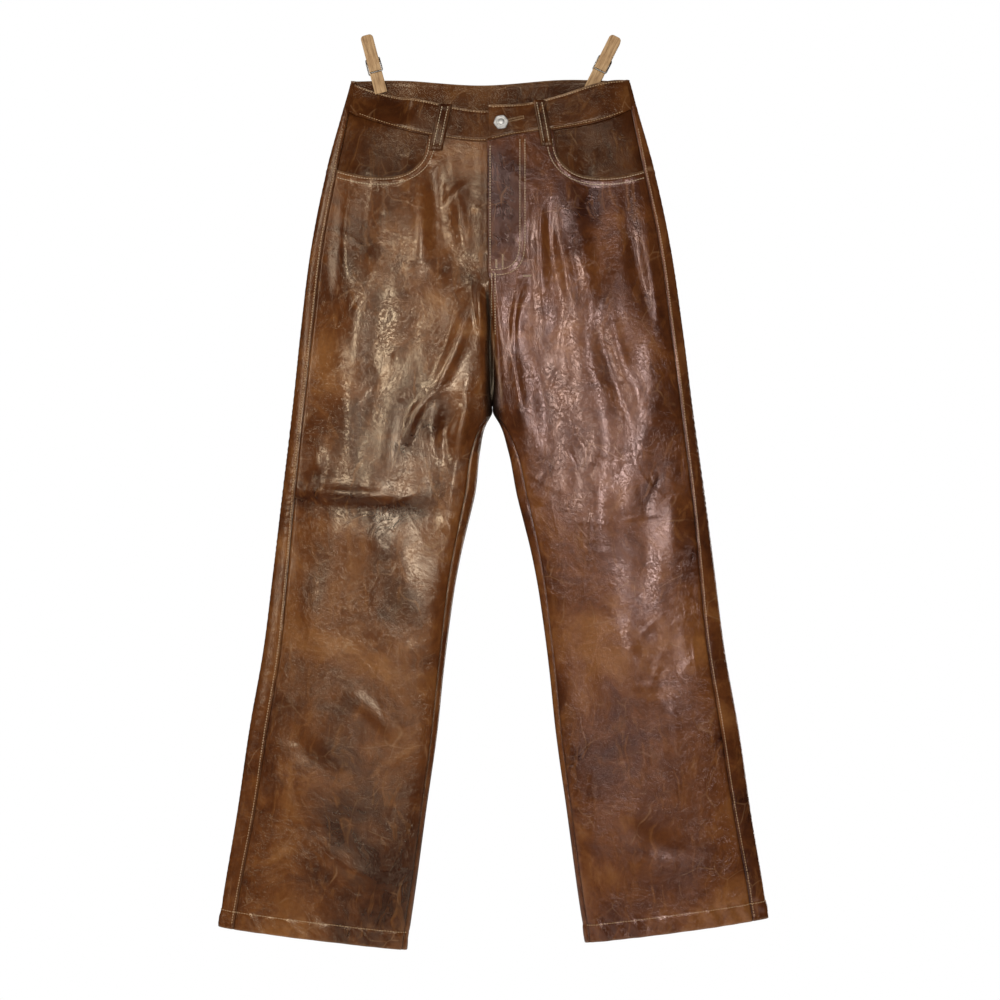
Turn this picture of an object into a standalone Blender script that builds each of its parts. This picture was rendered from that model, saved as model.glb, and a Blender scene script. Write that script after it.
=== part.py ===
"""Faux leather trousers held up by two spring clothes pegs.

Metres, +Z up. X runs across the trousers with the wearer's left at +X, and the front faces -Y.
The origin lies midway between the pegs, level with the top edge of the back waistband.
Sizes below are in millimetres, and MM turns them into metres.

The trousers are two flattened tubes, one for each leg, that merge above the crotch. Each tube has an
outline at every height, and every piece of cloth is a patch of that outline's surface: it is placed by
its distance along the outline, its height and how far it stands out.
"""

import math

import bmesh
import bpy
import numpy as np
from mathutils import Matrix, Vector

MM = 0.001
LEFT, RIGHT = 1, -1  # the wearer's left is at +X

SEAM_GAP = 0.3
SIDE_SEAM_GAP = 0.6  # mid wall to mid wall at the side seams, whose inner faces lean together to 0.3
PANEL_THICKNESS = 1.6
BAND_THICKNESS = 3.0
LOOP_THICKNESS = 2.0
FACING_DEPTH = 2.4  # mid panel to mid facing

# Outer edge of the tubes: half width, how far front and back swell from the middle plane, and how far
# in from the edge the outseam lies on the front.
OUTER_COLUMNS = ("z", "half_width", "front", "back", "outseam")
OUTER_ROWS = (
    (-1045, 334, 16, 10, 18),
    (-971, 323, 17, 11, 19),
    (-875, 307, 18, 12, 21),
    (-779, 293, 19, 12, 22),
    (-683, 276, 20, 12, 21),
    (-587, 264, 21, 13, 18),
    (-491, 252, 23, 13, 15),
    (-395, 239.5, 24, 13, 14),
    (-299, 228.5, 22, 13, 14),
    (-203, 215.5, 19, 12, 13),
    (-107, 195.5, 16, 11, 12),
    (-35, 175, 14, 9.5, 6),
    (5, 164.5, 13, 9, 3),
)

# Inner edge of each leg from the middle, and how far in from it the inseam lies on the front. Below zero
# the tube runs on past the middle and is cut there: the two halves are joined.
CROTCH = -398
INNER_COLUMNS = ("z", "inner", "inseam")
INNER_ROWS = (
    (-1045, 109, 5),
    (-971, 98, 5),
    (-875, 85, 5),
    (-779, 71.5, 6),
    (-707, 64, 6),
    (-644, 56, 7),
    (-604, 50, 8),
    (-563, 42, 9),
    (-530, 34, 10),
    (-497, 26, 11),
    (-443, 17.5, 9),
    (-413, 9.5, 4),
    (CROTCH, 1.1, 0),
    (-380, -4, 0),
    (-350, -12, 0),
    (-310, -26, 0),
    (-270, -70, 0),
    (-230, -160, 0),
    (-190, -230, 0),
)
CROTCH_ROOM = 0.9
CROTCH_ROOM_REACH = 14
ROUNDNESS = 2.5  # exponent of the flattened oval
OUTLINE_STEPS = 360
SWAY = ((-1020, 3.6), (-500, 3.0), (-200, 0.0), (0, -1.0))  # z, sideways drift of the middle
GAP_DRIFT = 3.0  # the gap between the legs lies this much further to the left
HEM = {LEFT: (-1004, -1034), RIGHT: (-1013, -1041)}  # z of the hem at the outer and at the inner edge

# Waistband edges by x: top edge of the front band and waist seam. The wearer's left half overlaps.
FRONT_BAND_COLUMNS = ("x", "top", "seam")
FRONT_BAND_ROWS = {
    RIGHT: (
        (-176, 0, -36),
        (-131, -14, -53),
        (-77, -26, -67),
        (-30, -36, -74.5),
        (-8, -38, -75.7),
        (0, -38, -74.8),
        (12, -38, -70.8),
        (30, -37, -66),
    ),
    LEFT: (
        (-8, -32, -76.5),
        (38, -30, -66),
        (83, -19, -60),
        (125, -5, -52),
        (144, -1, -46),
        (176, 0, -31),
    ),
}
BACK_BAND_COLUMNS = ("x", "top", "seam")
BACK_BAND_ROWS = ((-176, 0, -36), (-125, 2, -40), (-10, -4, -43), (90, 2.5, -40), (176, 0, -31))
OVERLAP_START = -2  # free end of the left front band
UNDERLAP_END = 22  # where the right front band ends, under the left one
OVERLAP_LIFT = BAND_THICKNESS + 0.4
OVERLAP_FADE = (24, 48)

FLY_EDGE = -3.6  # the fly's free edge, right of the middle
FLY_BOTTOM = -232
FLY_CURVE_TOP = -185
FLY_FACING_WIDTH = 36
FLY_UNDERLAP = -14
FLY_FACING_BELOW_SEAM = 8
FLY_FACING_INSET = 3

# Scooped pocket: it starts at the waist seam, falls steeply, and rises a little to the outseam.
POCKET_START = 75.6
POCKET_WIDTH = 56
POCKET_TOP = -69.6
POCKET_DROP = 48
POCKET_RISE = 10.8
POCKET_POWER = 2.4
POCKET_FACING_BELOW = 14

# Largest folds: face (-1 front, 1 back), start and end, width, and height, with troughs below zero.
FOLD_COLUMNS = ("face", "x0", "z0", "x1", "z1", "width", "height")
FOLD_ROWS = (
    (-1, 0, -262, 0, -430, 8, -9),
    (-1, -236, -486, -120, -494, 8, 5),
    (-1, -236, -500, -40, -521, 8, -6),
    (-1, -70, -380, -52, -500, 13, 3),
    (-1, -120, -330, -105, -440, 22, 3),
    (-1, 104, -150, 182, -410, 20, 3),
    (-1, 64, -140, 60, -290, 12, 2.5),
    (-1, 110, -330, 128, -480, 22, 3),
    (-1, 60, -540, 120, -516, 9, -3),
    (1, 0, -240, 0, -430, 8, -4),
    (1, -210, -470, -90, -492, 12, -3),
    (1, 90, -486, 220, -468, 12, -3),
    (1, -120, -330, -60, -385, 16, 2),
    (1, 60, -385, 130, -330, 16, 2),
)

FOLD_SIDE_FADE = 1.4  # how near the sides of a leg its folds stay at full height

# Rows of points round a leg from the hem up, as low, high and count, closer where folds need them.
ROW_RUNS = ((-1025, -528, 9), (-528, -480, 6), (-480, -413, 3), (-413, -345, 5), (-345, -75, 7))
TOP_FADE = (-215, -75)
HEM_FADE = (-900, -1025)
FRONT_COLUMNS = (0, 0.12, 0.24, 0.34, 0.42, 0.43, 0.45, 0.485, 0.54, 0.62, 0.73, 0.84, 0.93, 0.975, 1)
BACK_COLUMNS = (0, 0.025, 0.06, 0.1, 0.15, 0.24, 0.37, 0.5, 0.63, 0.76, 0.85, 0.9, 0.94, 0.975, 1)

# Belt loops on the front: x and z of the top and of the bottom, and width.
FRONT_LOOPS = {RIGHT: (-54, -31, -66, -86, 15), LEFT: (57, -26, 67, -81, 13)}
BACK_LOOPS = {"left": 95, "middle": 0, "right": -95}
BACK_LOOP_WIDTH = 14
BACK_LOOP_REACH = 52
LOOP_ARCH = 1.6
LOOP_CLEARANCE = 0.6

BUTTON_X, BUTTON_Z = 12, -53
BUTTON_RADIUS = 9
BUTTON_HEX_HEIGHT = 2.2
BUTTON_FACE_RADIUS = 6.6

PEG_WIDTH = 15
PEG_BELOW, PEG_ABOVE = 26.4, 45.6  # lengths from the wire groove to the jaw end and to the tail end
PEG_PLANE = 8.0  # y of the plane between the arms
PEG_HALF_DEPTH = 7.0
PEG_COIL_HEIGHT = 14
PEG_NOTCH_RADIUS = 4.1
PEG_JAW_TOP = -8.5
WIRE_RADIUS = 0.75
COIL_RADIUS = 3.0
COIL_TURNS = 7.5
COIL_HALF_LENGTH = 8.6
GROOVE_HALF_WIDTH = 1.1
GROOVE_DEPTH = 2.0
# Groove centre, lean of the top towards +X in degrees, and half the gap between the jaws.
PEG_COLUMNS = ("x", "z", "lean", "jaw_gap")
PEGS = {"right": (-138.5, 11.4, -14.6, 4.1), "left": (130.2, 13.2, 26.6, 2.1)}
PINCH_FACE_SPREAD = 1.6  # how fast the two bands part from each other at the sides of the waist
PINCH_REACH = (36, 40)  # how far round a peg the bands are drawn to it, along x and z
PINCH_SPACING = 1.95  # middle plane of the peg to mid band, where it grips both

COLOURS = {  # base colour, metallic, roughness
    "leather": ((0.105, 0.046, 0.020), 0.0, 0.38),
    "leather_inside": ((0.085, 0.040, 0.020), 0.0, 0.5),
    "button_metal": ((0.62, 0.60, 0.56), 1.0, 0.3),
    "peg_wood": ((0.45, 0.27, 0.11), 0.0, 0.6),
    "spring_steel": ((0.55, 0.54, 0.52), 1.0, 0.35),
}


# ---------------------------------------------------------------- the trousers' surface


def read(rows, index, at):
    """A smooth curve through one column of a table, read at a value of its first column."""
    table = np.array(rows, float)
    keys, values = table[:, 0], table[:, index]
    slopes = np.gradient(values, keys)
    i = int(np.clip(np.searchsorted(keys, at) - 1, 0, len(keys) - 2))
    span = keys[i + 1] - keys[i]
    t = float(np.clip((at - keys[i]) / span, 0, 1))
    rising = t * t * (3 - 2 * t)
    bend = t * (1 - t) * span * ((1 - t) * slopes[i] - t * slopes[i + 1])
    return values[i] + (values[i + 1] - values[i]) * rising + bend


def outer(z, column):
    return read(OUTER_ROWS, OUTER_COLUMNS.index(column), z)


def inner(z, column):
    return read(INNER_ROWS, INNER_COLUMNS.index(column), z)


def share(value, low, high):
    """How far value has come from low to high, kept between 0 and 1."""
    return min(max((value - low) / (high - low), 0), 1)


def ramp(value, low, high):
    """0 at low, 1 at high, smooth in between; low may be the larger."""
    t = share(value, low, high)
    return t * t * (3 - 2 * t)


def section(side, z):
    """One tube's outline at height z, twice round: distance across, depth and length along it.

    It starts at the inner edge and runs along the front to the outer edge, then back behind."""
    edge = outer(z, "half_width")
    drift = side * GAP_DRIFT * ramp(z, CROTCH, -500)
    inside = max(inner(z, "inner") + drift, -edge)
    angle = np.linspace(0, 4 * math.pi, 2 * OUTLINE_STEPS + 1)
    across, depth = -np.cos(angle), np.sin(angle)
    swell = np.where(depth > 0, outer(z, "front"), outer(z, "back"))
    power = 2 / ROUNDNESS
    h = (edge + inside) / 2 + (edge - inside) / 2 * np.sign(across) * np.abs(across) ** power
    y = -swell * np.sign(depth) * np.abs(depth) ** power
    steps = np.hypot(np.diff(h), np.diff(y))
    return h, y, np.concatenate([[0], np.cumsum(steps)])


def front_arc(side, z, h):
    """Length along the outline to the point of the front at distance h from the middle."""
    across, _, arc = section(side, z)
    half = OUTLINE_STEPS // 2 + 1
    return float(np.interp(h, across[:half], arc[:half]))


def back_arc(side, z, h):
    across, _, arc = section(side, z)
    half = slice(OUTLINE_STEPS // 2, OUTLINE_STEPS + 1)
    return float(np.interp(-h, -across[half], arc[half]))


def once_round(side, z):
    return float(section(side, z)[2][OUTLINE_STEPS])


def fold_height(face, x, z):
    """How far the folds lift one face at x, z: soft ridges and troughs that fade at their ends."""
    height = 0.0
    for row in FOLD_ROWS:
        fold = dict(zip(FOLD_COLUMNS, row))
        if fold["face"] != face:
            continue
        start = np.array((fold["x0"], fold["z0"]))
        run = np.array((fold["x1"], fold["z1"])) - start
        length = float(np.hypot(*run))
        offset = np.array((x, z)) - start
        along = float(offset @ run) / length
        aside = abs(float(offset[0] * run[1] - offset[1] * run[0])) / length
        beyond = max(-along, along - length, 0)
        width = fold["width"]
        height += fold["height"] * math.exp(-((aside / width) ** 2) - (beyond / (2 * width)) ** 2)
    return height


def drawn_to_pegs(x, y, z, swell):
    """y after the pegs have drawn the waistbands to the plane between their arms."""
    for name, row in PEGS.items():
        peg = dict(zip(PEG_COLUMNS, row))
        tilt = math.tan(math.radians(peg["lean"]))
        grip_x = peg["x"] - tilt * peg["z"]
        reach_x, reach_z = PINCH_REACH
        near = math.exp(-(abs((x - grip_x) / reach_x) ** 5) - abs(min(z, 0) / reach_z) ** 5)
        face = min(max(PINCH_FACE_SPREAD * y / swell, -1), 1)
        if name == "left":  # this peg grips the back band alone
            y += (PEG_PLANE - y) * near * max(face, 0)
        else:
            y += (PEG_PLANE + PINCH_SPACING * face - y) * near
    return y


def skin(side, s, z):
    """Point of the trousers' middle surface, s along the outline at height z."""
    across, depth, arc = section(side, z)
    x = side * float(np.interp(s, arc, across)) + read(SWAY, 1, z)
    y = float(np.interp(s, arc, depth))
    swell = outer(z, "front") if y < 0 else outer(z, "back")
    face = -1 if y < 0 else 1
    y += face * fold_height(face, x, z) * min(FOLD_SIDE_FADE * abs(y) / swell, 1)
    return np.array((x, drawn_to_pegs(x, y, z, swell), z))


def point(side, s, z, out=0.0):
    """Point of the surface, moved out along its normal, in millimetres."""
    here = skin(side, s, z)
    if not out:
        return here
    along = skin(side, s + 1, z) - skin(side, s - 1, z)
    rising = skin(side, s, z + 1) - skin(side, s, z - 1)
    normal = side * np.cross(along, rising)
    return here + out * normal / np.linalg.norm(normal)


# ---------------------------------------------------------------- where each panel lies on it


def centre_cut(side, z, find_arc):
    """Length along the outline to the centre seam, clear of the other half by the seam gap."""
    fly = ramp(z, FLY_BOTTOM - 16, FLY_BOTTOM) if find_arc is front_arc else 0
    h = SEAM_GAP / 2 + side * FLY_EDGE * fly
    s = find_arc(side, z, h)
    before, after = skin(side, s - 1, z), skin(side, s + 1, z)
    steepness = abs(after[1] - before[1]) / np.linalg.norm(after - before)
    return find_arc(side, z, h + (PANEL_THICKNESS / 2 + 0.3) * steepness)


def outseam_arc(side, z):
    return front_arc(side, z, outer(z, "half_width") - outer(z, "outseam"))


def inseam_arc(side, z):
    edge = inner(z, "inner") + side * GAP_DRIFT * ramp(z, CROTCH, -500)
    return front_arc(side, z, edge + inner(z, "inseam"))


def crotch_room(z):
    """More room between front and back where their seams meet and turn at the crotch."""
    return CROTCH_ROOM * math.exp(-(((z - CROTCH) / CROTCH_ROOM_REACH) ** 2))


def front_start(side, z):
    if z > CROTCH:
        return centre_cut(side, z, front_arc) + crotch_room(z)
    return inseam_arc(side, z) + SIDE_SEAM_GAP / 2 + crotch_room(z)


def back_end(side, z):
    if z > CROTCH:
        return centre_cut(side, z, back_arc) - crotch_room(z)
    return once_round(side, z) + inseam_arc(side, z) - SIDE_SEAM_GAP / 2 - crotch_room(z)


def front_span(side, z):
    return front_start(side, z), outseam_arc(side, z) - SIDE_SEAM_GAP / 2


def back_span(side, z):
    return outseam_arc(side, z) + SIDE_SEAM_GAP / 2, back_end(side, z)


def front_band_span(side, z):
    first = OVERLAP_START if side == LEFT else -UNDERLAP_END
    return front_arc(side, z, first), outseam_arc(side, z) - SIDE_SEAM_GAP / 2


def back_band_span(side, z):
    other_seam = front_arc(side, z, outer(z, "outseam") - outer(z, "half_width"))
    return outseam_arc(side, z) + SIDE_SEAM_GAP / 2, once_round(side, z) + other_seam - SIDE_SEAM_GAP / 2


def at(span, side, u, z):
    """Length along the outline at fraction u of a panel's width."""
    start, end = span(side, z)
    return start + u * (end - start)


def settled(edge, span, side, u, guess):
    """Height at which a panel's column u meets an edge that is given as a height for each x."""
    z = guess
    for _ in range(4):
        z = edge(side, skin(side, at(span, side, u, z), z)[0])
    return z


def waist_seam(side, x):
    return read(FRONT_BAND_ROWS[side], FRONT_BAND_COLUMNS.index("seam"), x)


def band_top(side, x):
    return read(FRONT_BAND_ROWS[side], FRONT_BAND_COLUMNS.index("top"), x)


def back_seam(_side, x):
    return read(BACK_BAND_ROWS, BACK_BAND_COLUMNS.index("seam"), x)


def back_top(_side, x):
    return read(BACK_BAND_ROWS, BACK_BAND_COLUMNS.index("top"), x)


def pocket_edge(x):
    """Height of the scooped pocket opening, or None between the pockets."""
    q = (abs(x) - POCKET_START) / POCKET_WIDTH
    if q < 0:
        return None
    if q > 1:
        return POCKET_TOP - POCKET_DROP + POCKET_RISE * (q - 1) ** 2
    return POCKET_TOP - POCKET_DROP * (1 - (1 - q) ** POCKET_POWER) ** (1 / POCKET_POWER)


def front_top(side, x):
    seam = waist_seam(side, x) - SEAM_GAP / 2
    pocket = pocket_edge(x)
    return seam if pocket is None else min(seam, pocket)


def back_panel_top(side, x):
    return back_seam(side, x) - SEAM_GAP / 2


def hem(side, x):
    outside, inside = HEM[side]
    low, high = inner(outside, "inner"), outer(outside, "half_width")
    return inside + (outside - inside) * (side * x - low) / (high - low)


# ---------------------------------------------------------------- making objects


def material(name):
    colour, metallic, roughness = COLOURS[name]
    made = bpy.data.materials.get(name) or bpy.data.materials.new(name)
    made.use_nodes = True
    shader = made.node_tree.nodes["Principled BSDF"]
    shader.inputs["Base Color"].default_value = (*colour, 1)
    shader.inputs["Metallic"].default_value = metallic
    shader.inputs["Roughness"].default_value = roughness
    made.diffuse_color = (*colour, 1)
    return made


def add_object(name, mesh, finish, collection):
    made = bpy.data.objects.new(name, mesh)
    collection.objects.link(made)
    if finish:
        mesh.materials.clear()
        mesh.materials.append(material(finish))
    return made


def add_sheet(name, place, columns, rows, thickness, finish, collection, turned=False):
    """A wall of cloth round the surface place(u, v), a grid thickened with Solidify."""
    grid = bmesh.new()
    across, up = len(columns) - 1, len(rows) - 1
    bmesh.ops.create_grid(grid, x_segments=across, y_segments=up, size=1)
    for vertex in grid.verts:
        i = round((vertex.co.x + 1) / 2 * across)
        j = round((vertex.co.y + 1) / 2 * up)
        vertex.co = Vector(place(columns[i], rows[j])) * MM
    if turned:
        bmesh.ops.reverse_faces(grid, faces=grid.faces)
    mesh = bpy.data.meshes.new(name)
    grid.to_mesh(mesh)
    grid.free()
    mesh.shade_smooth()
    made = add_object(name, mesh, finish, collection)
    wall = made.modifiers.new("wall", "SOLIDIFY")
    wall.thickness = thickness * MM
    wall.offset = 0
    return made


def row_heights():
    """Heights of a leg panel's rows, from the hem up."""
    runs = [np.linspace(low, high, count, endpoint=False) for low, high, count in ROW_RUNS]
    return np.concatenate(runs + [[ROW_RUNS[-1][1]]])


def add_leg_panel(name, side, span, top_edge, columns, collection):
    """A front or back panel: its rows bend at the top to the waist seam and at the bottom to the hem."""
    heights = row_heights()
    tops = {u: settled(top_edge, span, side, u, heights[-1]) for u in columns}
    hems = {u: settled(hem, span, side, u, heights[0]) for u in columns}

    def place(u, height):
        z = height + (tops[u] - heights[-1]) * share(height, *TOP_FADE)
        z += (hems[u] - heights[0]) * share(height, *HEM_FADE)
        return point(side, at(span, side, u, z), z)

    turned = side == RIGHT
    return add_sheet(name, place, columns, heights, PANEL_THICKNESS, "leather", collection, turned)


def add_front_band(name, side, collection):
    """One half of the front waistband, the left half lifted over the right one near its free end."""
    columns = np.sin(np.linspace(0, math.pi / 2, 15))
    middle = -20
    tops, seams = {}, {}
    for u in columns:
        tops[u] = settled(band_top, front_band_span, side, u, middle)
        seams[u] = settled(waist_seam, front_band_span, side, u, middle) + SEAM_GAP / 2

    def place(u, v):
        z = seams[u] + (tops[u] - seams[u]) * v
        s = at(front_band_span, side, u, z)
        x = skin(side, s, z)[0]
        lift = OVERLAP_LIFT * ramp(x, OVERLAP_FADE[1], OVERLAP_FADE[0]) if side == LEFT else 0
        return point(side, s, z, lift)

    rows = np.linspace(0, 1, 4)
    turned = side == RIGHT
    return add_sheet(name, place, columns, rows, BAND_THICKNESS, "leather", collection, turned)


def add_back_band(collection):
    steps = np.linspace(-1, 1, 27)
    columns = 0.5 + 0.5 * np.sign(steps) * (1 - (1 - np.abs(steps)) ** 1.5)
    middle = -20
    tops, seams = {}, {}
    for u in columns:
        tops[u] = settled(back_top, back_band_span, LEFT, u, middle)
        seams[u] = settled(back_seam, back_band_span, LEFT, u, middle) + SEAM_GAP / 2

    def place(u, v):
        z = seams[u] + (tops[u] - seams[u]) * v
        return point(LEFT, at(back_band_span, LEFT, u, z), z)

    rows = np.linspace(0, 1, 4)
    return add_sheet("band_back", place, columns, rows, BAND_THICKNESS, "leather", collection)


def add_pocket_facing(name, side, collection):
    """The piece behind a pocket opening, inside the front panel and up to the outseam."""
    columns = [u for u in FRONT_COLUMNS if u > 0.3]
    columns[-1] = 1 - 0.003
    tops, bottoms = {}, {}
    for u in columns:
        tops[u] = settled(waist_seam, front_span, side, u, POCKET_TOP) - SEAM_GAP
        bottoms[u] = POCKET_TOP - POCKET_DROP - POCKET_FACING_BELOW

    def place(u, v):
        z = bottoms[u] + (tops[u] - bottoms[u]) * v
        return point(side, at(front_span, side, u, z), z, -FACING_DEPTH)

    rows = np.linspace(0, 1, 5)
    return add_sheet(name, place, columns, rows, PANEL_THICKNESS, "leather", collection, side == RIGHT)


def add_fly_facing(collection):
    """The facing behind the fly, whose lower end curves in to the fly's edge."""
    top = waist_seam(LEFT, 0) - FLY_FACING_BELOW_SEAM
    start = FLY_EDGE + FLY_FACING_INSET

    def place(u, v):
        z = FLY_BOTTOM + (top - FLY_BOTTOM) * v
        fall = share(z, FLY_CURVE_TOP, FLY_BOTTOM)
        right = start + (FLY_FACING_WIDTH - start) * math.sqrt(1 - fall * fall)
        x = FLY_UNDERLAP + (right - FLY_UNDERLAP) * u
        return point(LEFT, front_arc(LEFT, z, x - read(SWAY, 1, z)), z, -FACING_DEPTH)

    columns = np.linspace(0, 1, 5)
    rows = 1 - np.cos(np.linspace(0, math.pi / 2, 10))
    return add_sheet("fly_facing", place, columns, rows, PANEL_THICKNESS, "leather_inside", collection)


def add_loop(name, side, find_arc, ends, width, collection):
    """A belt loop: a strip over the band, fast at both ends and standing off a little in between."""
    top_x, top_z, bottom_x, bottom_z = ends
    foot = BAND_THICKNESS / 2 + LOOP_CLEARANCE + LOOP_THICKNESS / 2

    def place(u, v):
        x = bottom_x + (top_x - bottom_x) * v + (u - 0.5) * width
        z = bottom_z + (top_z - bottom_z) * v
        s = find_arc(side, z, side * (x - read(SWAY, 1, z)))
        return point(side, s, z, foot + LOOP_ARCH * math.sin(math.pi * v))

    columns, rows = np.linspace(0, 1, 3), np.linspace(0, 1, 9)
    turned = find_arc is back_arc
    return add_sheet(name, place, columns, rows, LOOP_THICKNESS, "leather", collection, turned)


def turned_mesh(name, profile, steps):
    """A closed turned shape about Z, from a profile of (radius, height) that starts and ends on the axis."""
    line = bmesh.new()
    points = [line.verts.new((radius * MM, 0, height * MM)) for radius, height in profile]
    for a, b in zip(points, points[1:]):
        line.edges.new((a, b))
    mesh = bpy.data.meshes.new(name)
    line.to_mesh(mesh)
    line.free()
    made = bpy.data.objects.new(name, mesh)
    bpy.context.scene.collection.objects.link(made)
    screw = made.modifiers.new("turn", "SCREW")
    screw.steps = screw.render_steps = steps
    screw.use_merge_vertices = True
    screw.merge_threshold = 0.00001
    screw.use_normal_calculate = True
    return made


def baked(obj, name):
    """A new mesh of the object as its modifiers leave it; the object is removed."""
    bpy.context.view_layer.update()
    graph = bpy.context.evaluated_depsgraph_get()
    mesh = bpy.data.meshes.new_from_object(obj.evaluated_get(graph))
    mesh.name = name
    mesh.transform(obj.matrix_world)
    bpy.data.objects.remove(obj, do_unlink=True)
    work = bmesh.new()
    work.from_mesh(mesh)
    bmesh.ops.remove_doubles(work, verts=work.verts, dist=0.00001)
    bmesh.ops.recalc_face_normals(work, faces=work.faces)
    work.to_mesh(mesh)
    work.free()
    return mesh


def combine(target, cutter_mesh, operation, cutters):
    cutter = add_object(f"cut_{target.name}_{len(cutters.objects)}", cutter_mesh, None, cutters)
    cutter.hide_render = True
    cutter.display_type = "WIRE"
    step = target.modifiers.new(operation.lower(), "BOOLEAN")
    step.operation = operation
    step.solver = "EXACT"
    step.object = cutter


def add_button(collection, cutters):
    """A hexagonal shank button with a raised round face inside its rim."""
    hexagon = bmesh.new()
    bmesh.ops.create_cone(
        hexagon,
        cap_ends=True,
        segments=6,
        radius1=BUTTON_RADIUS * MM,
        radius2=0.93 * BUTTON_RADIUS * MM,
        depth=BUTTON_HEX_HEIGHT * MM,
    )
    mesh = bpy.data.meshes.new("button")
    hexagon.to_mesh(mesh)
    hexagon.free()
    made = add_object("button", mesh, "button_metal", collection)
    edge = made.modifiers.new("soft_edges", "BEVEL")
    edge.width = 0.5 * MM
    edge.segments = 3
    top = BUTTON_HEX_HEIGHT / 2
    r = BUTTON_FACE_RADIUS
    profile = ((0, top + 0.9), (r - 2.4, top + 0.8), (r - 1.6, top + 0.3), (r - 1.0, top + 0.5))
    profile += ((r - 0.5, top + 0.9), (r, top + 0.4), (r, top - 0.6), (0, top - 0.6))
    combine(made, baked(turned_mesh("button_face", profile, 32), "button_face"), "UNION", cutters)
    z = BUTTON_Z
    out = OVERLAP_LIFT + BAND_THICKNESS / 2 + SEAM_GAP + 0.3 + BUTTON_HEX_HEIGHT / 2
    place = point(LEFT, front_arc(LEFT, z, BUTTON_X), z, out) * MM
    turn = Matrix.Rotation(math.pi / 2, 4, "X") @ Matrix.Rotation(math.radians(8), 4, "Z")
    made.matrix_world = Matrix.Translation(place) @ turn
    for cutter in cutters.objects:
        if cutter.name.startswith("cut_button"):
            cutter.matrix_world = made.matrix_world
    return made


def arc_points(centre, radius, start, end, count):
    """Points of an arc, by angles in degrees."""
    angles = np.radians(np.linspace(start, end, count))
    return [(centre[0] + radius * math.cos(a), centre[1] + radius * math.sin(a)) for a in angles]


def extruded(name, outline, half_thickness):
    """A solid from a flat outline in its own XY plane, as a mesh."""
    curve = bpy.data.curves.new(name, "CURVE")
    curve.dimensions = "2D"
    curve.fill_mode = "BOTH"
    curve.extrude = half_thickness * MM
    line = curve.splines.new("POLY")
    line.points.add(len(outline) - 1)
    for spline_point, (a, b) in zip(line.points, outline):
        spline_point.co = (a * MM, b * MM, 0, 1)
    line.use_cyclic_u = True
    made = bpy.data.objects.new(name, curve)
    bpy.context.scene.collection.objects.link(made)
    return baked(made, name)


def arm_profile(jaw_gap):
    """Side view of the back arm as (y, z): flat outside, hollowed for the coil, thin at tail and jaw."""
    face = PEG_HALF_DEPTH
    groove = face - GROOVE_DEPTH + GROOVE_HALF_WIDTH
    points = [(face, -PEG_BELOW), (face, -GROOVE_HALF_WIDTH)]
    points += arc_points((groove, 0), GROOVE_HALF_WIDTH, -90, -270, 7)
    points += [(face, GROOVE_HALF_WIDTH), (face, PEG_ABOVE), (face - 2.6, PEG_ABOVE)]
    rim = 0.5
    half_open = math.degrees(math.acos(rim / PEG_NOTCH_RADIUS))
    points += arc_points((0, PEG_COIL_HEIGHT), PEG_NOTCH_RADIUS, half_open, -half_open, 11)
    points += [(rim, -2), (jaw_gap, PEG_JAW_TOP), (jaw_gap, 1 - PEG_BELOW), (jaw_gap + 1, -PEG_BELOW)]
    return points


def arm_front():
    """Front view of an arm as (x, z), with a rounded tail."""
    half, corner = PEG_WIDTH / 2, 4.5
    points = [(-half, -PEG_BELOW), (half, -PEG_BELOW)]
    points += arc_points((half - corner, PEG_ABOVE - corner), corner, 0, 90, 6)
    points += arc_points((corner - half, PEG_ABOVE - corner), corner, 90, 180, 6)
    return points


def peg_frame(peg):
    """World place of a peg: its own +Z runs up the arms from the wire groove."""
    place = Matrix.Translation(Vector((peg["x"], PEG_PLANE, peg["z"])) * MM)
    return place @ Matrix.Rotation(math.radians(peg["lean"]), 4, "Y")


def add_peg_arm(name, peg, facing, collection, cutters):
    """One wooden arm; facing is -1 for the front arm and 1 for the back arm."""
    profile = arm_profile(peg["jaw_gap"])
    mesh = extruded(name, profile, PEG_WIDTH / 2)
    stand = Matrix(((0, 0, 1, 0), (facing, 0, 0, 0), (0, 1, 0, 0), (0, 0, 0, 1)))
    mesh.transform(stand)
    if stand.determinant() < 0:
        mesh.flip_normals()
    made = add_object(name, mesh, "peg_wood", collection)
    outline = extruded(f"{name}_front_view", arm_front(), 2 * PEG_HALF_DEPTH)
    outline.transform(Matrix.Rotation(math.pi / 2, 4, "X"))
    combine(made, outline, "INTERSECT", cutters)
    made.matrix_world = peg_frame(peg)
    made.modifiers["intersect"].object.matrix_world = peg_frame(peg)
    return made


def spring_route():
    """Centre line of the spring: over the front arm, round the coil, and over the back arm."""
    lay = PEG_HALF_DEPTH - GROOVE_DEPTH + WIRE_RADIUS + 0.35
    side, corner = COIL_HALF_LENGTH, 1.2
    leg = [(-side + 2, -lay, 0), (side - corner, -lay, 0), (side - 0.3, -lay, 0.3), (side, -lay, corner)]
    leg += [(side, -lay + 0.6, PEG_COIL_HEIGHT / 2)]
    turns = np.linspace(0, 2 * math.pi * COIL_TURNS, int(10 * COIL_TURNS) + 1)
    coil = []
    for turn in turns:
        x = side - 2 * side * turn / turns[-1]
        y = -COIL_RADIUS * math.cos(turn)
        z = PEG_COIL_HEIGHT + COIL_RADIUS * math.sin(turn)
        coil.append((x, y, z))
    return leg + coil + [(-x, -y, z) for x, y, z in reversed(leg)]


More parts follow.
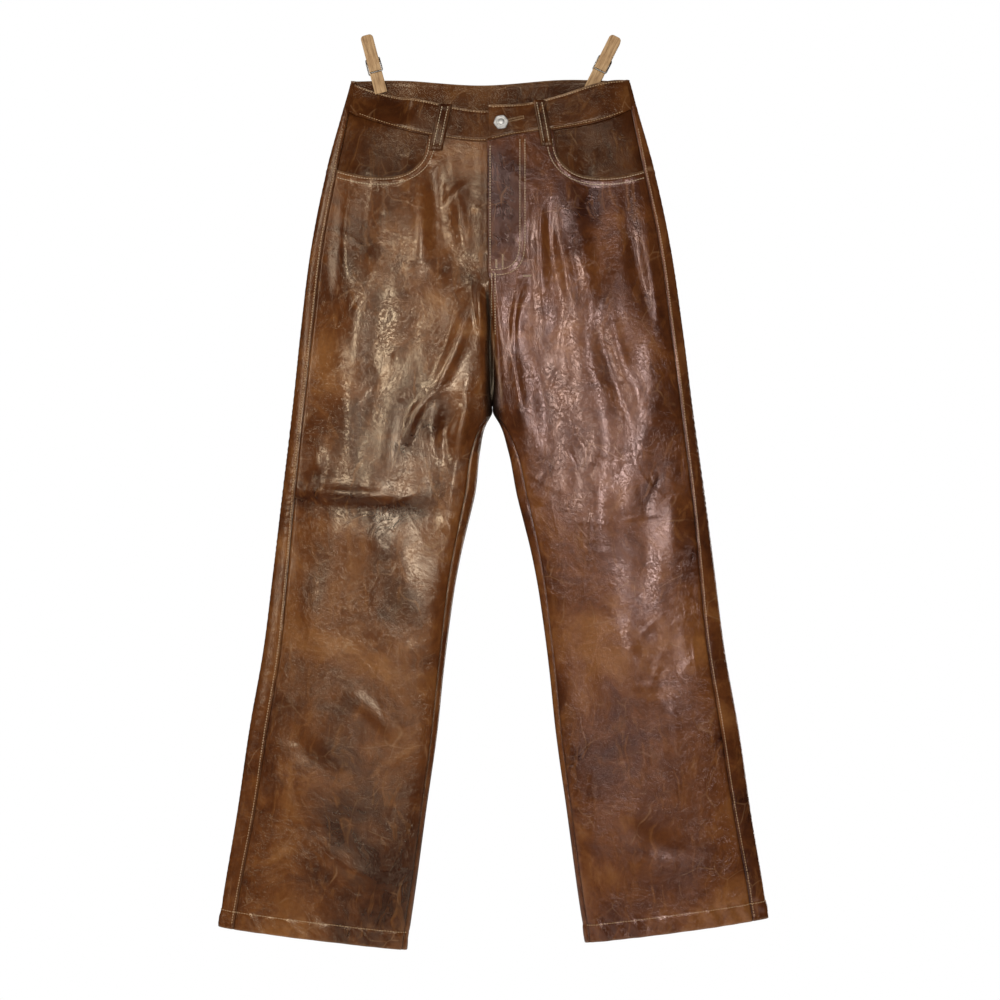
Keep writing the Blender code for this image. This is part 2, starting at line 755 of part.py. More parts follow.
def add_spring(name, peg, collection):
    curve = bpy.data.curves.new(name, "CURVE")
    curve.dimensions = "3D"
    curve.bevel_depth = WIRE_RADIUS * MM
    curve.bevel_resolution = 1
    curve.use_fill_caps = True
    route = spring_route()
    line = curve.splines.new("POLY")
    line.points.add(len(route) - 1)
    for spline_point, place in zip(line.points, route):
        spline_point.co = (*(c * MM for c in place), 1)
    made = add_object(name, curve, "spring_steel", collection)
    made.matrix_world = peg_frame(peg)
    return made


def main():
    for obj in list(bpy.data.objects):
        bpy.data.objects.remove(obj, do_unlink=True)
    parts = bpy.data.collections.new("faux_leather_trousers")
    cutters = bpy.data.collections.new("cutters")
    for collection in (parts, cutters):
        bpy.context.scene.collection.children.link(collection)

    for side, name in ((LEFT, "left"), (RIGHT, "right")):
        add_leg_panel(f"front_{name}", side, front_span, front_top, FRONT_COLUMNS, parts)
        add_leg_panel(f"back_{name}", side, back_span, back_panel_top, BACK_COLUMNS, parts)
        add_front_band(f"band_front_{name}", side, parts)
        add_pocket_facing(f"pocket_facing_{name}", side, parts)
        *ends, width = FRONT_LOOPS[side]
        add_loop(f"loop_front_{name}", side, front_arc, ends, width, parts)
    add_back_band(parts)
    add_fly_facing(parts)
    for name, x in BACK_LOOPS.items():
        top = back_top(LEFT, x) - 1
        ends = (x, top, x, top - BACK_LOOP_REACH)
        add_loop(f"loop_back_{name}", LEFT, back_arc, ends, BACK_LOOP_WIDTH, parts)
    add_button(parts, cutters)
    for name, row in PEGS.items():
        peg = dict(zip(PEG_COLUMNS, row))
        add_peg_arm(f"peg_{name}_front", peg, -1, parts, cutters)
        add_peg_arm(f"peg_{name}_back", peg, 1, parts, cutters)
        add_spring(f"peg_{name}_spring", peg, parts)
    bpy.context.view_layer.update()


main()
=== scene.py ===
"""The look of the faux leather trousers: seams, stitching, creases, leather, pegs, light and camera.

Metres in the scene, millimetres in the tables, +Z up. X runs across with the wearer's left at +X, the front
faces -Y, and the origin lies midway between the pegs, level with the top edge of the back waistband.
"""

import math

import bmesh
import bpy
import numpy as np
from mathutils import Matrix, Vector


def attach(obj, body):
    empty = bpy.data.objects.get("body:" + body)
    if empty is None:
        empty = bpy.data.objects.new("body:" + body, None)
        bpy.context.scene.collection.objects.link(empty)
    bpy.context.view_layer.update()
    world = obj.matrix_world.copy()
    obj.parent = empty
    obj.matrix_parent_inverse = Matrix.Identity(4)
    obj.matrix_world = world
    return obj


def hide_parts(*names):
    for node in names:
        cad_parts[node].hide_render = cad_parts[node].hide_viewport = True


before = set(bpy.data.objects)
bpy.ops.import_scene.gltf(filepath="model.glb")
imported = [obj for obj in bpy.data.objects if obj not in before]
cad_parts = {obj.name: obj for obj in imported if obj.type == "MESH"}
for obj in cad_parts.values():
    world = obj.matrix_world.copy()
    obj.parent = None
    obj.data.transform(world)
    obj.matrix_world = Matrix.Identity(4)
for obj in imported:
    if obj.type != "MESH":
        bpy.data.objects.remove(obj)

MM = 0.001
LEFT, RIGHT = 1, -1
FRONT, BACK = -1, 1

# -------- sizes, in millimetres

PANEL_THICKNESS = 1.6
BAND_THICKNESS = 3.0
LOOP_THICKNESS = 1.8
FACING_DEPTH = 2.4

# Outer edge of the tubes: half width, swell of the front and of the back, and how far in the outseam lies.
OUTER_COLUMNS = ("z", "half_width", "front", "back", "outseam")
OUTER_ROWS = (
    (-1045, 334, 16, 10, 18),
    (-971, 323, 17, 11, 19),
    (-875, 307, 18, 12, 21),
    (-779, 293, 19, 12, 22),
    (-683, 276, 20, 12, 21),
    (-587, 264, 21, 13, 18),
    (-491, 252, 23, 13, 15),
    (-395, 239.5, 24, 13, 14),
    (-299, 228.5, 22, 13, 14),
    (-203, 215.5, 19, 12, 13),
    (-107, 195.5, 16, 11, 12),
    (-35, 175, 14, 9.5, 6),
    (5, 164.5, 13, 9, 3),
)

# Inner edge of each leg, and how far in from it the inseam lies. Below zero the two halves are joined.
CROTCH = -398
INNER_COLUMNS = ("z", "inner", "inseam")
INNER_ROWS = (
    (-1045, 109, 5),
    (-971, 98, 5),
    (-875, 85, 5),
    (-779, 71.5, 6),
    (-707, 64, 6),
    (-644, 56, 7),
    (-604, 50, 8),
    (-563, 42, 9),
    (-530, 34, 10),
    (-497, 26, 11),
    (-443, 17.5, 9),
    (-413, 9.5, 4),
    (CROTCH, 1.1, 0),
    (-380, -4, 0),
    (-350, -12, 0),
    (-310, -26, 0),
    (-270, -70, 0),
    (-230, -160, 0),
    (-190, -230, 0),
)
ROUNDNESS = 2.5
SWAY_COLUMNS = ("z", "shift")  # how far the middle has swung to the side
SWAY_ROWS = ((-1020, 3.6), (-500, 3.0), (-200, 0.0), (0, -1.0))
GAP_DRIFT = 3.0  # the same for the gap between the legs, at the knees and below
HEM = {LEFT: (-1004, -1034), RIGHT: (-1013, -1041)}  # height of each hem at its outseam and its inner edge
HEM_LEVEL = -1020  # where a leg's width at the hem is read
HEM_DEPTH = 21
CENTRE_UNDERLAP = 4.0  # how far the right half runs on under the left half at the centre seams

BAND_COLUMNS = ("x", "top", "seam")
FRONT_BAND_ROWS = {
    RIGHT: (
        (-176, 0, -36),
        (-131, -14, -53),
        (-77, -26, -67),
        (-30, -36, -74.5),
        (-8, -38, -75.7),
        (0, -38, -74.8),
        (12, -38, -70.8),
        (30, -37, -66),
    ),
    LEFT: (
        (-8, -32, -76.5),
        (38, -30, -66),
        (83, -19, -60),
        (125, -5, -52),
        (144, -1, -46),
        (176, 0, -31),
    ),
}
BACK_BAND_ROWS = (
    (-176, 0, -36),
    (-125, 2, -40),
    (-10, -4, -43),
    (90, 2.5, -40),
    (176, 0, -31),
)
# Each waistband's mesh, how far out it lies, and the amounts for its finish.
BAND_MESH_COLUMNS = ("columns", "rows", "out", "clouds", "wear")
BAND_MESHES = {FRONT: (150, 20, 0.5, 0.42, 0.45), BACK: (300, 16, 0.2, 0.44, 0.40)}
BAND_GROOVES = (0.06, 0.94)  # the two stitch lines, as shares of the band's height
BAND_GUESS = -20  # height from which the search for a band's edges starts
BAND_STITCH_LIFT = {FRONT: 0.45, BACK: 0.1}
PANEL_LIP = 3.5  # how far a panel runs on behind its waistband
OVERLAP_START = -2
UNDERLAP_END = 22
OVERLAP_LIFT = 3.4
OVERLAP_FADE = (24, 48)

# A leg panel's rows run between two heights: closer at the hem, the knee and the crotch. Its columns run
# between two shares of its width: closer where the pocket starts and at the seams.
ROW_RUNS = ((-1025, -990, 22), (-990, -535, 130), (-535, -470, 34), (-470, -340, 66), (-340, -75, 95))
COLUMN_RUNS = {
    FRONT: ((0, 1, 92), (0.36, 0.44, 22), (0.004, 0.996, 2)),
    BACK: ((0, 1, 104), (0.003, 0.997, 2)),
}
STRETCHED_ABOVE, STRETCHED_BELOW = -215, -900  # where the rows begin to bend towards the top and the hem

FLY_EDGE = -3.6
FLY_BOTTOM = -232
FLY_CURVE_TOP = -185
FLY_STITCHES = (34.5, 40.5)
FLY_LIP = 42.0  # x where the doubled flap ends
FLY_STITCH_POWER = 3.3  # squareness of the J's corner
FLY_FACING_POWER = 2
FLY_FACING_WIDTH = 36
FLY_FACING_TOP = -82
FLY_UNDERLAP = -14
# Straight stitch lines beside the fly's edge and down the centre seam.
STRAIGHT_COLUMNS = ("x", "top", "bottom", "points")
STRAIGHT_ROWS = ((-1.0, -80, -228, 120), (0.9, -232, -284, 80), (5.0, -232, -306, 100))
TACK_COLUMNS = ("start", "end")
TACKS = {
    "fly_tack_low": ((6.5, -217), (6.5, -226.5)),
    "fly_tack_high": ((14, -211), (14, -226)),
    "fly_tack_side": ((38.5, -236), (48, -236)),
}
TACK_TURNS, TACK_HALF_WIDTH, TACK_RADIUS = 26, 1.1, 0.45

POCKET_START = 75.6
POCKET_WIDTH = 56
POCKET_TOP = -69.6
POCKET_DROP = 48
POCKET_RISE = 10.8
POCKET_POWER = 2.4
POCKET_FACING_BELOW = 14

LOOP_COLUMNS = ("top_x", "top_z", "bottom_x", "bottom_z", "width")
FRONT_LOOPS = {RIGHT: (-54, -31, -66, -86, 15), LEFT: (57, -26, 67, -81, 13)}
BACK_LOOPS = {"left": 95, "middle": 0, "right": -95}
BACK_LOOP_WIDTH = 14
BACK_LOOP_REACH = 52
LOOP_ARCH = 1.6  # how far the middle of a loop stands off
LOOP_CLEARANCE = 0.7

BUTTON_X, BUTTON_Z = 12, -53
BUTTON_TURN = 8  # degrees
BUTTON_STEPS = 72
# Rings of the button: up its hexagonal rim, then over its face to the centre.
BUTTON_COLUMNS = ("radius", "height")
BUTTON_RIM_ROWS = ((8.73, 0.0), (9.0, 0.5), (8.55, 1.7), (7.74, 2.2))
BUTTON_FACE_ROWS = (
    (7.0, 2.2),
    (6.6, 1.6),
    (6.2, 2.4),
    (5.6, 2.7),
    (5.0, 2.2),
    (4.4, 1.9),
    (3.8, 2.6),
    (1.6, 3.0),
    (0.02, 3.1),
)
BUTTONHOLE = ((19.5, -51.5), (39.0, -46.5))  # x and z of its ends
BUTTONHOLE_TURNS = 64
BUTTONHOLE_REACH = (0.5, 2.1)  # of its threads, near and far from the slot
BUTTONHOLE_RADIUS = 0.3

PEG_WIDTH = 15
PEG_BELOW, PEG_ABOVE = 26.4, 45.6  # from the wire's groove to the jaw's end and to the tail's end
PEG_PLANE = 8.0  # y of the plane between the arms
PEG_HALF_DEPTH = 7.0
PEG_COIL_HEIGHT = 14
PEG_NOTCH_RADIUS = 4.1
PEG_NOTCH_RIM = 0.5  # from the middle plane to the notch's rim
PEG_JAW_TOP = -8.5
PEG_TAIL_FACE = 2.6  # thickness of the tail's end
PEG_TAIL_CORNER = 4.5  # radius of the two top corners in front view
WIRE_RADIUS = 0.75
COIL_RADIUS = 3.0
COIL_TURNS = 7.5
COIL_HALF_LENGTH = 8.6
GROOVE_HALF_WIDTH = 1.1
GROOVE_DEPTH = 2.0
# Centre of the wire's groove, lean of the top towards +X in degrees, and half the gap between the jaws.
PEG_COLUMNS = ("x", "z", "lean", "jaw_gap")
PEGS = {"right": (-138.5, 11.4, -14.6, 4.1), "left": (130.2, 13.2, 26.6, 2.1)}
PINCH_FACE_SPREAD = 1.6  # how fast the two bands part from each other at the sides of the waist
PINCH_REACH = (36, 40)  # how far round a peg the bands are drawn to it, along x and z
PINCH_SPACING = 1.95  # middle plane of the peg to mid band, where it grips both

# Creases listed one by one: both ends, width, height (troughs below zero) and sideways bow at the middle.
CREASE_COLUMNS = ("x0", "z0", "x1", "z1", "width", "height", "bow")
FRONT_CREASES = (
    # valley at the crotch and the folds that run from it
    (-4, -244, 2, -404, 6, -8.0, 0),
    (-17, -236, -10, -312, 4, 3.0, 0),
    (-26, -255, -76, -386, 8, 2.8, -8),
    (-20, -355, -62, -430, 7, -2.0, -5),
    (24, -312, 42, -430, 5, 2.0, 0),
    (26, -250, 20, -320, 10, -1.4, 0),
    # knee of the wearer's right leg
    (-250, -488, -90, -500, 8, 2.2, 2),
    (-250, -506, -24, -518, 14, -1.8, 4),
    (-58, -520, -40, -560, 6, 1.6, -2),
    # thigh of the wearer's right leg
    (-22, -350, -40, -455, 7, 3.0, 3),
    (-50, -370, -52, -470, 9, -2.6, 4),
    (-70, -372, -102, -442, 5, 2.2, 7),
    (-78, -300, -118, -480, 20, 2.2, 10),
    (-104, -318, -108, -350, 3, 1.4, 6),
    (-196, -300, -176, -480, 22, 2.6, -8),
    (-206, -436, -208, -474, 8, 1.6, 0),
    (-140, -230, -150, -360, 16, -1.8, -6),
    (-164, -96, -176, -280, 11, 2.6, 6),
    (-142, -110, -148, -260, 9, -1.6, 3),
    (-92, -92, -84, -235, 10, 2.6, -5),
    (-62, -100, -56, -250, 12, -1.8, 5),
    (-38, -120, -28, -222, 8, 2.2, 3),
    # thigh of the wearer's left leg
    (92, -116, 190, -420, 12, 2.8, 14),
    (120, -190, 164, -410, 10, -2.4, 8),
    (160, -110, 196, -300, 9, -2.4, 8),
    (182, -110, 208, -330, 7, 2.4, 6),
    (43, -232, 28, -326, 3.5, 2.0, 7),
    (84, -180, 104, -290, 8, 2.2, 3),
    (60, -130, 66, -320, 7, 2.0, 4),
    (72, -140, 78, -245, 7, -2.0, 4),
    (96, -250, 130, -480, 22, 2.6, -8),
    (44, -300, 64, -450, 12, -1.6, -6),
    (34, -498, 60, -514, 5, -1.6, 3),
    # shins
    (-230, -560, -190, -700, 16, 1.6, 8),
    (-130, -560, -96, -680, 14, -1.4, 6),
    (-250, -760, -180, -840, 10, -1.2, 6),
    (-190, -720, -110, -790, 9, 1.2, -6),
    (-220, -900, -130, -960, 10, 1.2, 6),
    (150, -640, 210, -760, 12, 1.4, 8),
    (110, -600, 120, -760, 12, -1.2, 6),
    (210, -700, 232, -860, 10, 1.3, 5),
    (150, -880, 250, -930, 12, -1.2, 8),
)
BACK_CREASES = (
    (0, -240, 0, -400, 7, -4, 0),
    (-210, -470, -80, -494, 8, -3, 4),
    (-214, -486, -110, -512, 7, 2.4, 3),
    (70, -528, 190, -500, 10, -2.6, -4),
    (150, -470, 228, -486, 7, 2.2, 4),
    (-130, -320, -40, -392, 10, 2.4, 5),
    (-160, -360, -50, -430, 9, -2.0, 5),
    (26, -360, 150, -286, 11, 2.2, -6),
    (44, -404, 128, -352, 8, -2.0, -4),
    (-120, -120, -132, -300, 14, 1.8, 6),
    (118, -110, 140, -290, 14, 1.8, -6),
    (-60, -140, -52, -270, 10, -1.4, 4),
    (64, -130, 58, -260, 10, -1.4, -4),
    (-230, -620, -170, -760, 12, 1.5, 6),
    (170, -600, 214, -760, 12, 1.5, -6),
    (-150, -700, -110, -860, 12, -1.3, 6),
    (130, -720, 160, -880, 12, -1.3, -6),
    (-250, -880, -160, -930, 10, 1.2, 5),
    (160, -900, 270, -860, 10, 1.2, 5),
)

# Clouds of lighter amber (above zero) or darker brown (below) in the finish. Most are the leather's own
# tone; a few dark ones are painted shade, under the knee fold and in two troughs of the wearer's left
# thigh.
PATCH_COLUMNS = ("x", "z", "across", "along", "lean", "amount")
TONE_AND_SHADE_PATCHES = (
    (-74, -165, 30, 60, 20, 0.15),
    (-110, -130, 60, 50, 0, -0.35),
    (-40, -110, 40, 40, 0, -0.3),
    (-190, -360, 36, 60, -20, 0.6),
    (-246, -900, 30, 90, 5, 0.7),
    (-110, -720, 60, 40, 30, 0.5),
    (-210, -560, 50, 30, 10, 0.4),
    (60, -205, 24, 60, 0, 0.6),
    (214, -575, 24, 60, 0, 0.5),
    (130, -650, 50, 70, -30, 0.35),
    (160, -970, 80, 24, 6, 0.6),
    (110, -900, 26, 50, 0, 0.4),
    # painted shadow under the knee fold
    (-150, -516, 120, 15, 3, -0.45),
    (-150, -620, 50, 50, 0, -0.25),
    (-120, -930, 50, 60, 0, -0.25),
    (150, -800, 50, 60, 20, -0.25),
    (-170, -230, 40, 50, 0, -0.25),
    # painted shade in two troughs of the wearer's left thigh
    (140, -290, 20, 90, 10, -0.4),
    (170, -160, 14, 60, 8, -0.5),
    (110, -150, 40, 30, 0, -0.3),
    (-20, -190, 30, 70, 0, -0.3),
    (18, -150, 24, 90, 0, -0.45),
)

# Colours, as linear RGB.
DEEP_BROWN = (0.034, 0.0088, 0.0038)
MID_BROWN = (0.088, 0.0250, 0.0064)
WARM_BROWN = (0.130, 0.0405, 0.0100)
AMBER = (0.225, 0.086, 0.023)
MAUVE = (1.0, 0.74, 0.70)  # tint of the gloss on the wearer's left leg
CREAM = (1.0, 0.82, 0.60)  # and on the rest
VEIN_TAN = (0.30, 0.16, 0.075)
# pale tan of worn edges, also used as a painted highlight on them
WEAR_AND_SHEEN_TAN = (0.46, 0.30, 0.17)
# colour of the painted shade in the seams' grooves and between the thighs
PAINTED_SHADE_BROWN = (0.006, 0.0022, 0.0012)
TAN_THREAD = (0.58, 0.36, 0.17)
CREAM_THREAD = (0.80, 0.61, 0.38)
SILVER = (0.80, 0.79, 0.76)
STEEL = (0.58, 0.57, 0.54)
WOOD_LINES = ((0.27, 0.145, 0.055), (0.50, 0.31, 0.145), (0.66, 0.44, 0.23))
WOOD_DIRT = (0.62, 0.5, 0.38)
WHITE = (1.0, 1.0, 1.0)
FLOOR_WHITE = (0.9, 0.9, 0.89)
WORLD_MIRRORED = (0.032, 0.020, 0.013)
WORLD_LIT = (0.36, 0.36, 0.36)

# Painted shade: the dark wedge painted into the hollow between the thighs above the crotch.
SHADE_WEDGE_COLUMNS = ("z", "middle", "half_width")
SHADE_WEDGE_ROWS = (
    (-432, 5, 12),
    (-410, 4, 11.5),
    (-398, 2.6, 10.5),
    (-382, 1.6, 9.6),
    (-371, 1.0, 9.4),
    (-351, 0.2, 7.4),
    (-331, -1.2, 5.4),
    (-311, -2.2, 4.2),
    (-290, -2.7, 3.6),
    (-269, -4.0, 2.8),
    (-246, -4.6, 1.2),
)

OUTSEAM_STITCH = 2.6  # from the outseam to the stitch line outside it
POCKET_STITCHES = (2.4, 8.6)  # from the pocket's edge down to its two stitch lines
BACK_STITCHES = (2.4, 7.4)  # x of the two stitch lines down the back
LOOP_STITCHES = (-0.24, 0.24)  # shares of a loop's width
STITCH_PITCH = 3.2
STITCH_LENGTH = 2.0
STITCH_RADIUS = 0.5
STITCH_SIDES = 6
STITCH_LIFT = 0.25  # how far a stitch's middle lies above the cloth
STITCH_COLUMNS = ("along", "thickness")  # as shares of its length and its radius
STITCH_ROWS = ((-0.5, 0.25), (-0.38, 0.85), (-0.12, 1.0), (0.12, 1.0), (0.38, 0.85), (0.5, 0.25))
SMALL_WRINKLES = 260

FLOOR_HALF_WIDTH = 1200
FLOOR_NEAR, FLOOR_FAR = -900, 800
FLOOR_HEIGHT = -1300

# The camera and the softboxes, in metres and watts.
CAMERA_PLACE = (0.0108, -2.6, -0.5028)
CAMERA_LENS, CAMERA_SENSOR = 78, 36  # these two in millimetres
LIGHT_COLUMNS = ("name", "place", "towards", "size", "watts", "colour", "mirrored")
LIGHTS = (
    ("fill", (-0.7, -3.2, -0.2), (0, 0, -0.5), (2.4, 2.2), 14, (1.0, 0.97, 0.93), False),
    ("gloss_left", (-0.56, -2.5, -0.17), (-0.1, 0, -0.4), (0.18, 0.90), 11.5, (1.0, 0.95, 0.86), True),
    ("gloss_right", (0.44, -2.5, -0.29), (0.1, 0, -0.35), (0.20, 0.94), 12.5, (1.0, 0.97, 0.95), True),
    ("gloss_low", (0.0, -2.5, -1.2), (0, 0, -0.9), (1.1, 0.05), 1.0, (1.0, 0.96, 0.92), True),
    ("side_left", (-2.0, -1.2, 0.2), (-0.1, 0, -0.4), (0.5, 1.6), 10, (1.0, 0.97, 0.92), True),
    ("side_back", (1.8, 1.7, -0.8), (0, 0, -0.5), (0.26, 1.1), 7, (1.0, 0.97, 0.93), True),
    ("rim_back", (0.6, 2.4, 0.8), (0, 0, -0.5), (1.6, 1.6), 26, WHITE, True),
)

# -------- the trousers' surface


def named(columns, row):
    """A table's row, to be read by the names of its columns."""
    return dict(zip(columns, row))


def read(rows, columns, column, at):
    """A smooth curve through one column of a table, read at values of its first column."""
    table = np.array(rows, float)
    keys, values = table[:, 0], table[:, columns.index(column)]
    slopes = np.gradient(values, keys)
    at = np.asarray(at, float)
    i = np.clip(np.searchsorted(keys, at) - 1, 0, len(keys) - 2)
    gap = keys[i + 1] - keys[i]
    t = np.clip((at - keys[i]) / gap, 0, 1)
    bend = t * (1 - t) * gap * ((1 - t) * slopes[i] - t * slopes[i + 1])
    return values[i] + (values[i + 1] - values[i]) * t * t * (3 - 2 * t) + bend


def outer(z, column):
    return read(OUTER_ROWS, OUTER_COLUMNS, column, z)


def inner(z, column):
    return read(INNER_ROWS, INNER_COLUMNS, column, z)


def sway(z):
    return read(SWAY_ROWS, SWAY_COLUMNS, "shift", z)


def band_edge(face, side, x, column):
    """Height at x of a waistband's top edge, or of the seam below it."""
    return read(FRONT_BAND_ROWS[side] if face == FRONT else BACK_BAND_ROWS, BAND_COLUMNS, column, x)


def ramp(value, low, high):
    """0 at low, 1 at high, smooth in between; low may be the larger."""
    t = np.clip((np.asarray(value, float) - low) / (high - low), 0, 1)
    return t * t * (3 - 2 * t)


def bell(value, width):
    return np.exp(-((np.asarray(value, float) / width) ** 2))


def inner_edge(side, z):
    drift = side * GAP_DRIFT * ramp(z, CROTCH, -500)
    return np.maximum(inner(z, "inner") + drift, -outer(z, "half_width"))


def angle_at(side, face, z, h):
    """Angle round a tube's outline to distance h from the middle, on its front or its back."""
    edge, inside = outer(z, "half_width"), inner_edge(side, z)
    across = np.clip((h - (edge + inside) / 2) / ((edge - inside) / 2), -1, 1)
    angle = np.arccos(-np.sign(across) * np.abs(across) ** (ROUNDNESS / 2))
    return angle if face == FRONT else 2 * math.pi - angle


def outseam_h(z):
    return outer(z, "half_width") - outer(z, "outseam")


def inseam_h(side, z):
    return inner_edge(side, z) + inner(z, "inseam")


def at_h(side, h, z):
    """x at distance h from the middle of the garment, which sways to the side."""
    return side * h + sway(z)


def crease_height(rows, x, z):
    """Soft ridges and troughs, each a bowed line that fades at both ends."""
    height = np.zeros(np.shape(x))
    for row in rows:
        crease = named(CREASE_COLUMNS, row)
        run_x, run_z = crease["x1"] - crease["x0"], crease["z1"] - crease["z0"]
        length = math.hypot(run_x, run_z)
        dx, dz = x - crease["x0"], z - crease["z0"]
        arch = np.sin(math.pi * np.clip((dx * run_x + dz * run_z) / length**2, 0, 1))
        aside = (dx * run_z - dz * run_x) / length - crease["bow"] * arch
        height += 1.3 * crease["height"] * bell(aside, 1.1 * crease["width"]) * arch**1.1
    return height


def small_wrinkles(face, x, z):
    """Short shallow wrinkles, scattered the same way every time."""
    scatter = np.random.default_rng(17 if face == FRONT else 23)
    height = np.zeros(np.shape(x))
    for _ in range(SMALL_WRINKLES):
        at_z = scatter.uniform(-1000, -90)
        at_x = scatter.uniform(-1, 1) * float(outer(at_z, "half_width"))
        lean = scatter.normal(0.0, 0.9)
        length, width = scatter.uniform(14, 46), scatter.uniform(1.6, 3.6)
        lift = scatter.uniform(0.15, 0.5) * scatter.choice((-1, 1, 1))
        dx, dz = x - at_x, z - at_z
        along = (dx * math.sin(lean) + dz * math.cos(lean)) / length
        near = np.abs(along) < 1
        aside = dx * math.cos(lean) - dz * math.sin(lean) - 3 * along**2
        height += near * lift * bell(aside, width) * (1 - along**2) ** 2
    return height


def slow_waves(x, z):
    """Unevenness of cloth that hangs nearly flat, longer down the leg than across it."""
    first = np.sin(x / 31 + z / 160 + 1.3) * np.sin(z / 90 - x / 140)
    second = np.sin(x / 17 - z / 110 + 0.4) * np.sin(z / 55 + x / 71 + 2.0)
    third = np.sin(x / 9.5 + z / 75) * np.sin(z / 33 - x / 26 + 0.8)
    fourth = np.sin(x / 5.2 - z / 50 + 1.5 * second) * np.sin(z / 22 + x / 17 + 1.3 * first)
    calm = 0.6 + 0.4 * ramp(z, -660, -520)  # the shins hang flatter
    return calm * (2.3 * first + 1.2 * second + 0.5 * third + 0.15 * fourth)


def pocket_edge(x):
    """Height of the scooped pocket opening; far above the waist between the pockets."""
    q = (np.abs(x) - POCKET_START) / POCKET_WIDTH
    inside = np.clip(q, 0, 1)
    scoop = POCKET_TOP - POCKET_DROP * (1 - (1 - inside) ** POCKET_POWER) ** (1 / POCKET_POWER)
    return np.where(q < 0, 100.0, scoop + POCKET_RISE * np.clip(q - 1, 0, None) ** 2)


def hem_height(side, x, z=HEM_LEVEL):
    outside, inside = HEM[side]
    low, high = inner(z, "inner"), outer(z, "half_width")
    return inside + (outside - inside) * (side * x - low) / (high - low)


def fly_line(z, right, power=FLY_STITCH_POWER):
    """x of the fly's J-shaped line that runs straight down and curves in to the fly's edge."""
    fall = np.clip((FLY_CURVE_TOP - z) / (FLY_CURVE_TOP - FLY_BOTTOM), 0, 1)
    return FLY_EDGE + (right - FLY_EDGE) * (1 - fall**power) ** (1 / power)


def seam_relief(side, face, h, x, z):
    """Edges rolled in at the seams, with the stitched-down side standing a little higher."""
    height = np.zeros(np.shape(x))
    if face == FRONT:
        beyond = h - outseam_h(z)
        height -= 1.7 * bell(beyond, 1.2)
        height += 0.5 * ramp(beyond, 0.6, 2.0) * ramp(beyond, 14, 7)
        pucker = np.sin(z / 1.35 + 2.2 * np.sin(z / 9)) * (0.35 + 0.65 * bell(z + 490, 90))
        height += 0.35 * pucker * ramp(beyond, 3, 6)
        past = h - inseam_h(side, z)
        height -= 1.4 * bell(past, 1.4) * ramp(z, CROTCH + 10, CROTCH - 30)
    middle = ramp(z, CROTCH - 4, CROTCH + 8)
    below_fly = ramp(z, FLY_BOTTOM + 6, FLY_BOTTOM - 10) if face == FRONT else 1
    height -= 1.3 * bell(h, 1.5) * middle * below_fly
    if side == LEFT:
        height += 0.4 * ramp(h, 0.8, 2.2) * ramp(h, 9, 7) * middle * below_fly
    else:
        height -= 1.9 * ramp(h, 1.6, -0.6) * middle
    return height


def hem_relief(side, x, z):
    """The turned-up hem, puckered along its stitching."""
    above = z - hem_height(side, x, z)
    height = 0.5 * ramp(above, HEM_DEPTH + 1.5, HEM_DEPTH - 1.5) - 0.3 * bell(above - HEM_DEPTH, 1.6)
    pucker = np.sin((x + 0.55 * above) / 4.1 + 1.7 * np.sin(x / 23))
    pucker += 0.6 * np.sin((x + 0.4 * above) / 6.7)
    strength = 1.1 if side == LEFT else 0.6
    return height + strength * pucker * bell(above - HEM_DEPTH + 8, 12)


def fly_relief(side, x, z):
    """The fly's flap, doubled as far as its J-shaped stitching."""
    if side == RIGHT:
        return -1.2 * ramp(x, -12, -3) * ramp(z, FLY_BOTTOM - 14, FLY_BOTTOM + 6)
    flap = ramp(z, FLY_BOTTOM - 8, FLY_BOTTOM + 10)
    doubled = ramp(x, fly_line(z, FLY_LIP + 1.5), fly_line(z, FLY_LIP)) * flap
    grooves = sum(bell(x - fly_line(z, right), 0.8) for right in FLY_STITCHES)
    height = 0.5 * doubled - 0.35 * grooves * flap
    height += 1.1 * ramp(x, 14, FLY_EDGE) * flap
    ripple = np.sin(z / 7.5 + 1.4 * np.sin(z / 31)) * bell(x - 37, 7)
    return height + 0.22 * ripple * flap


def pocket_relief(x, z):
    """The rolled lip of the pocket opening and the grooves of its two stitch lines."""
    below = pocket_edge(x) - z
    level = np.abs(x) > POCKET_START
    height = 0.5 * ramp(below, 10.5, 8.5) - 0.9 * bell(below, 1.4)
    return level * (height - 0.3 * bell(below - 3.0, 0.8) - 0.3 * bell(below - 8.0, 0.8))


def drawn_to_pegs(x, y, z, swell):
    """y after the pegs have drawn the waistbands to the plane between their arms."""
    reach_x, reach_z = PINCH_REACH
    for name, row in PEGS.items():
        peg = named(PEG_COLUMNS, row)
        grip_x = peg["x"] - math.tan(math.radians(peg["lean"])) * peg["z"]
        beside, below = np.abs((x - grip_x) / reach_x), np.abs(np.minimum(z, 0) / reach_z)
        near = np.exp(-(beside**5) - below**5)
        face = np.clip(PINCH_FACE_SPREAD * y / swell, -1, 1)
        if name == "left":  # this peg grips the back band alone
            y = y + (PEG_PLANE - y) * near * np.maximum(face, 0)
        else:
            y = y + (PEG_PLANE + PINCH_SPACING * face - y) * near
    return y


def smooth_tube(side, angle, z):
    """Point of a tube before its creases, and its distance from the middle."""
    edge, inside = outer(z, "half_width"), inner_edge(side, z)
    across, depth = -np.cos(angle), np.sin(angle)
    swell = np.where(depth > 0, outer(z, "front"), outer(z, "back"))
    power = 2 / ROUNDNESS
    h = (edge + inside) / 2 + (edge - inside) / 2 * np.sign(across) * np.abs(across) ** power
    y = -swell * np.sign(depth) * np.abs(depth) ** power
    x = at_h(side, h, z)
    return np.stack([x, drawn_to_pegs(x, y, z, swell), z], -1), h


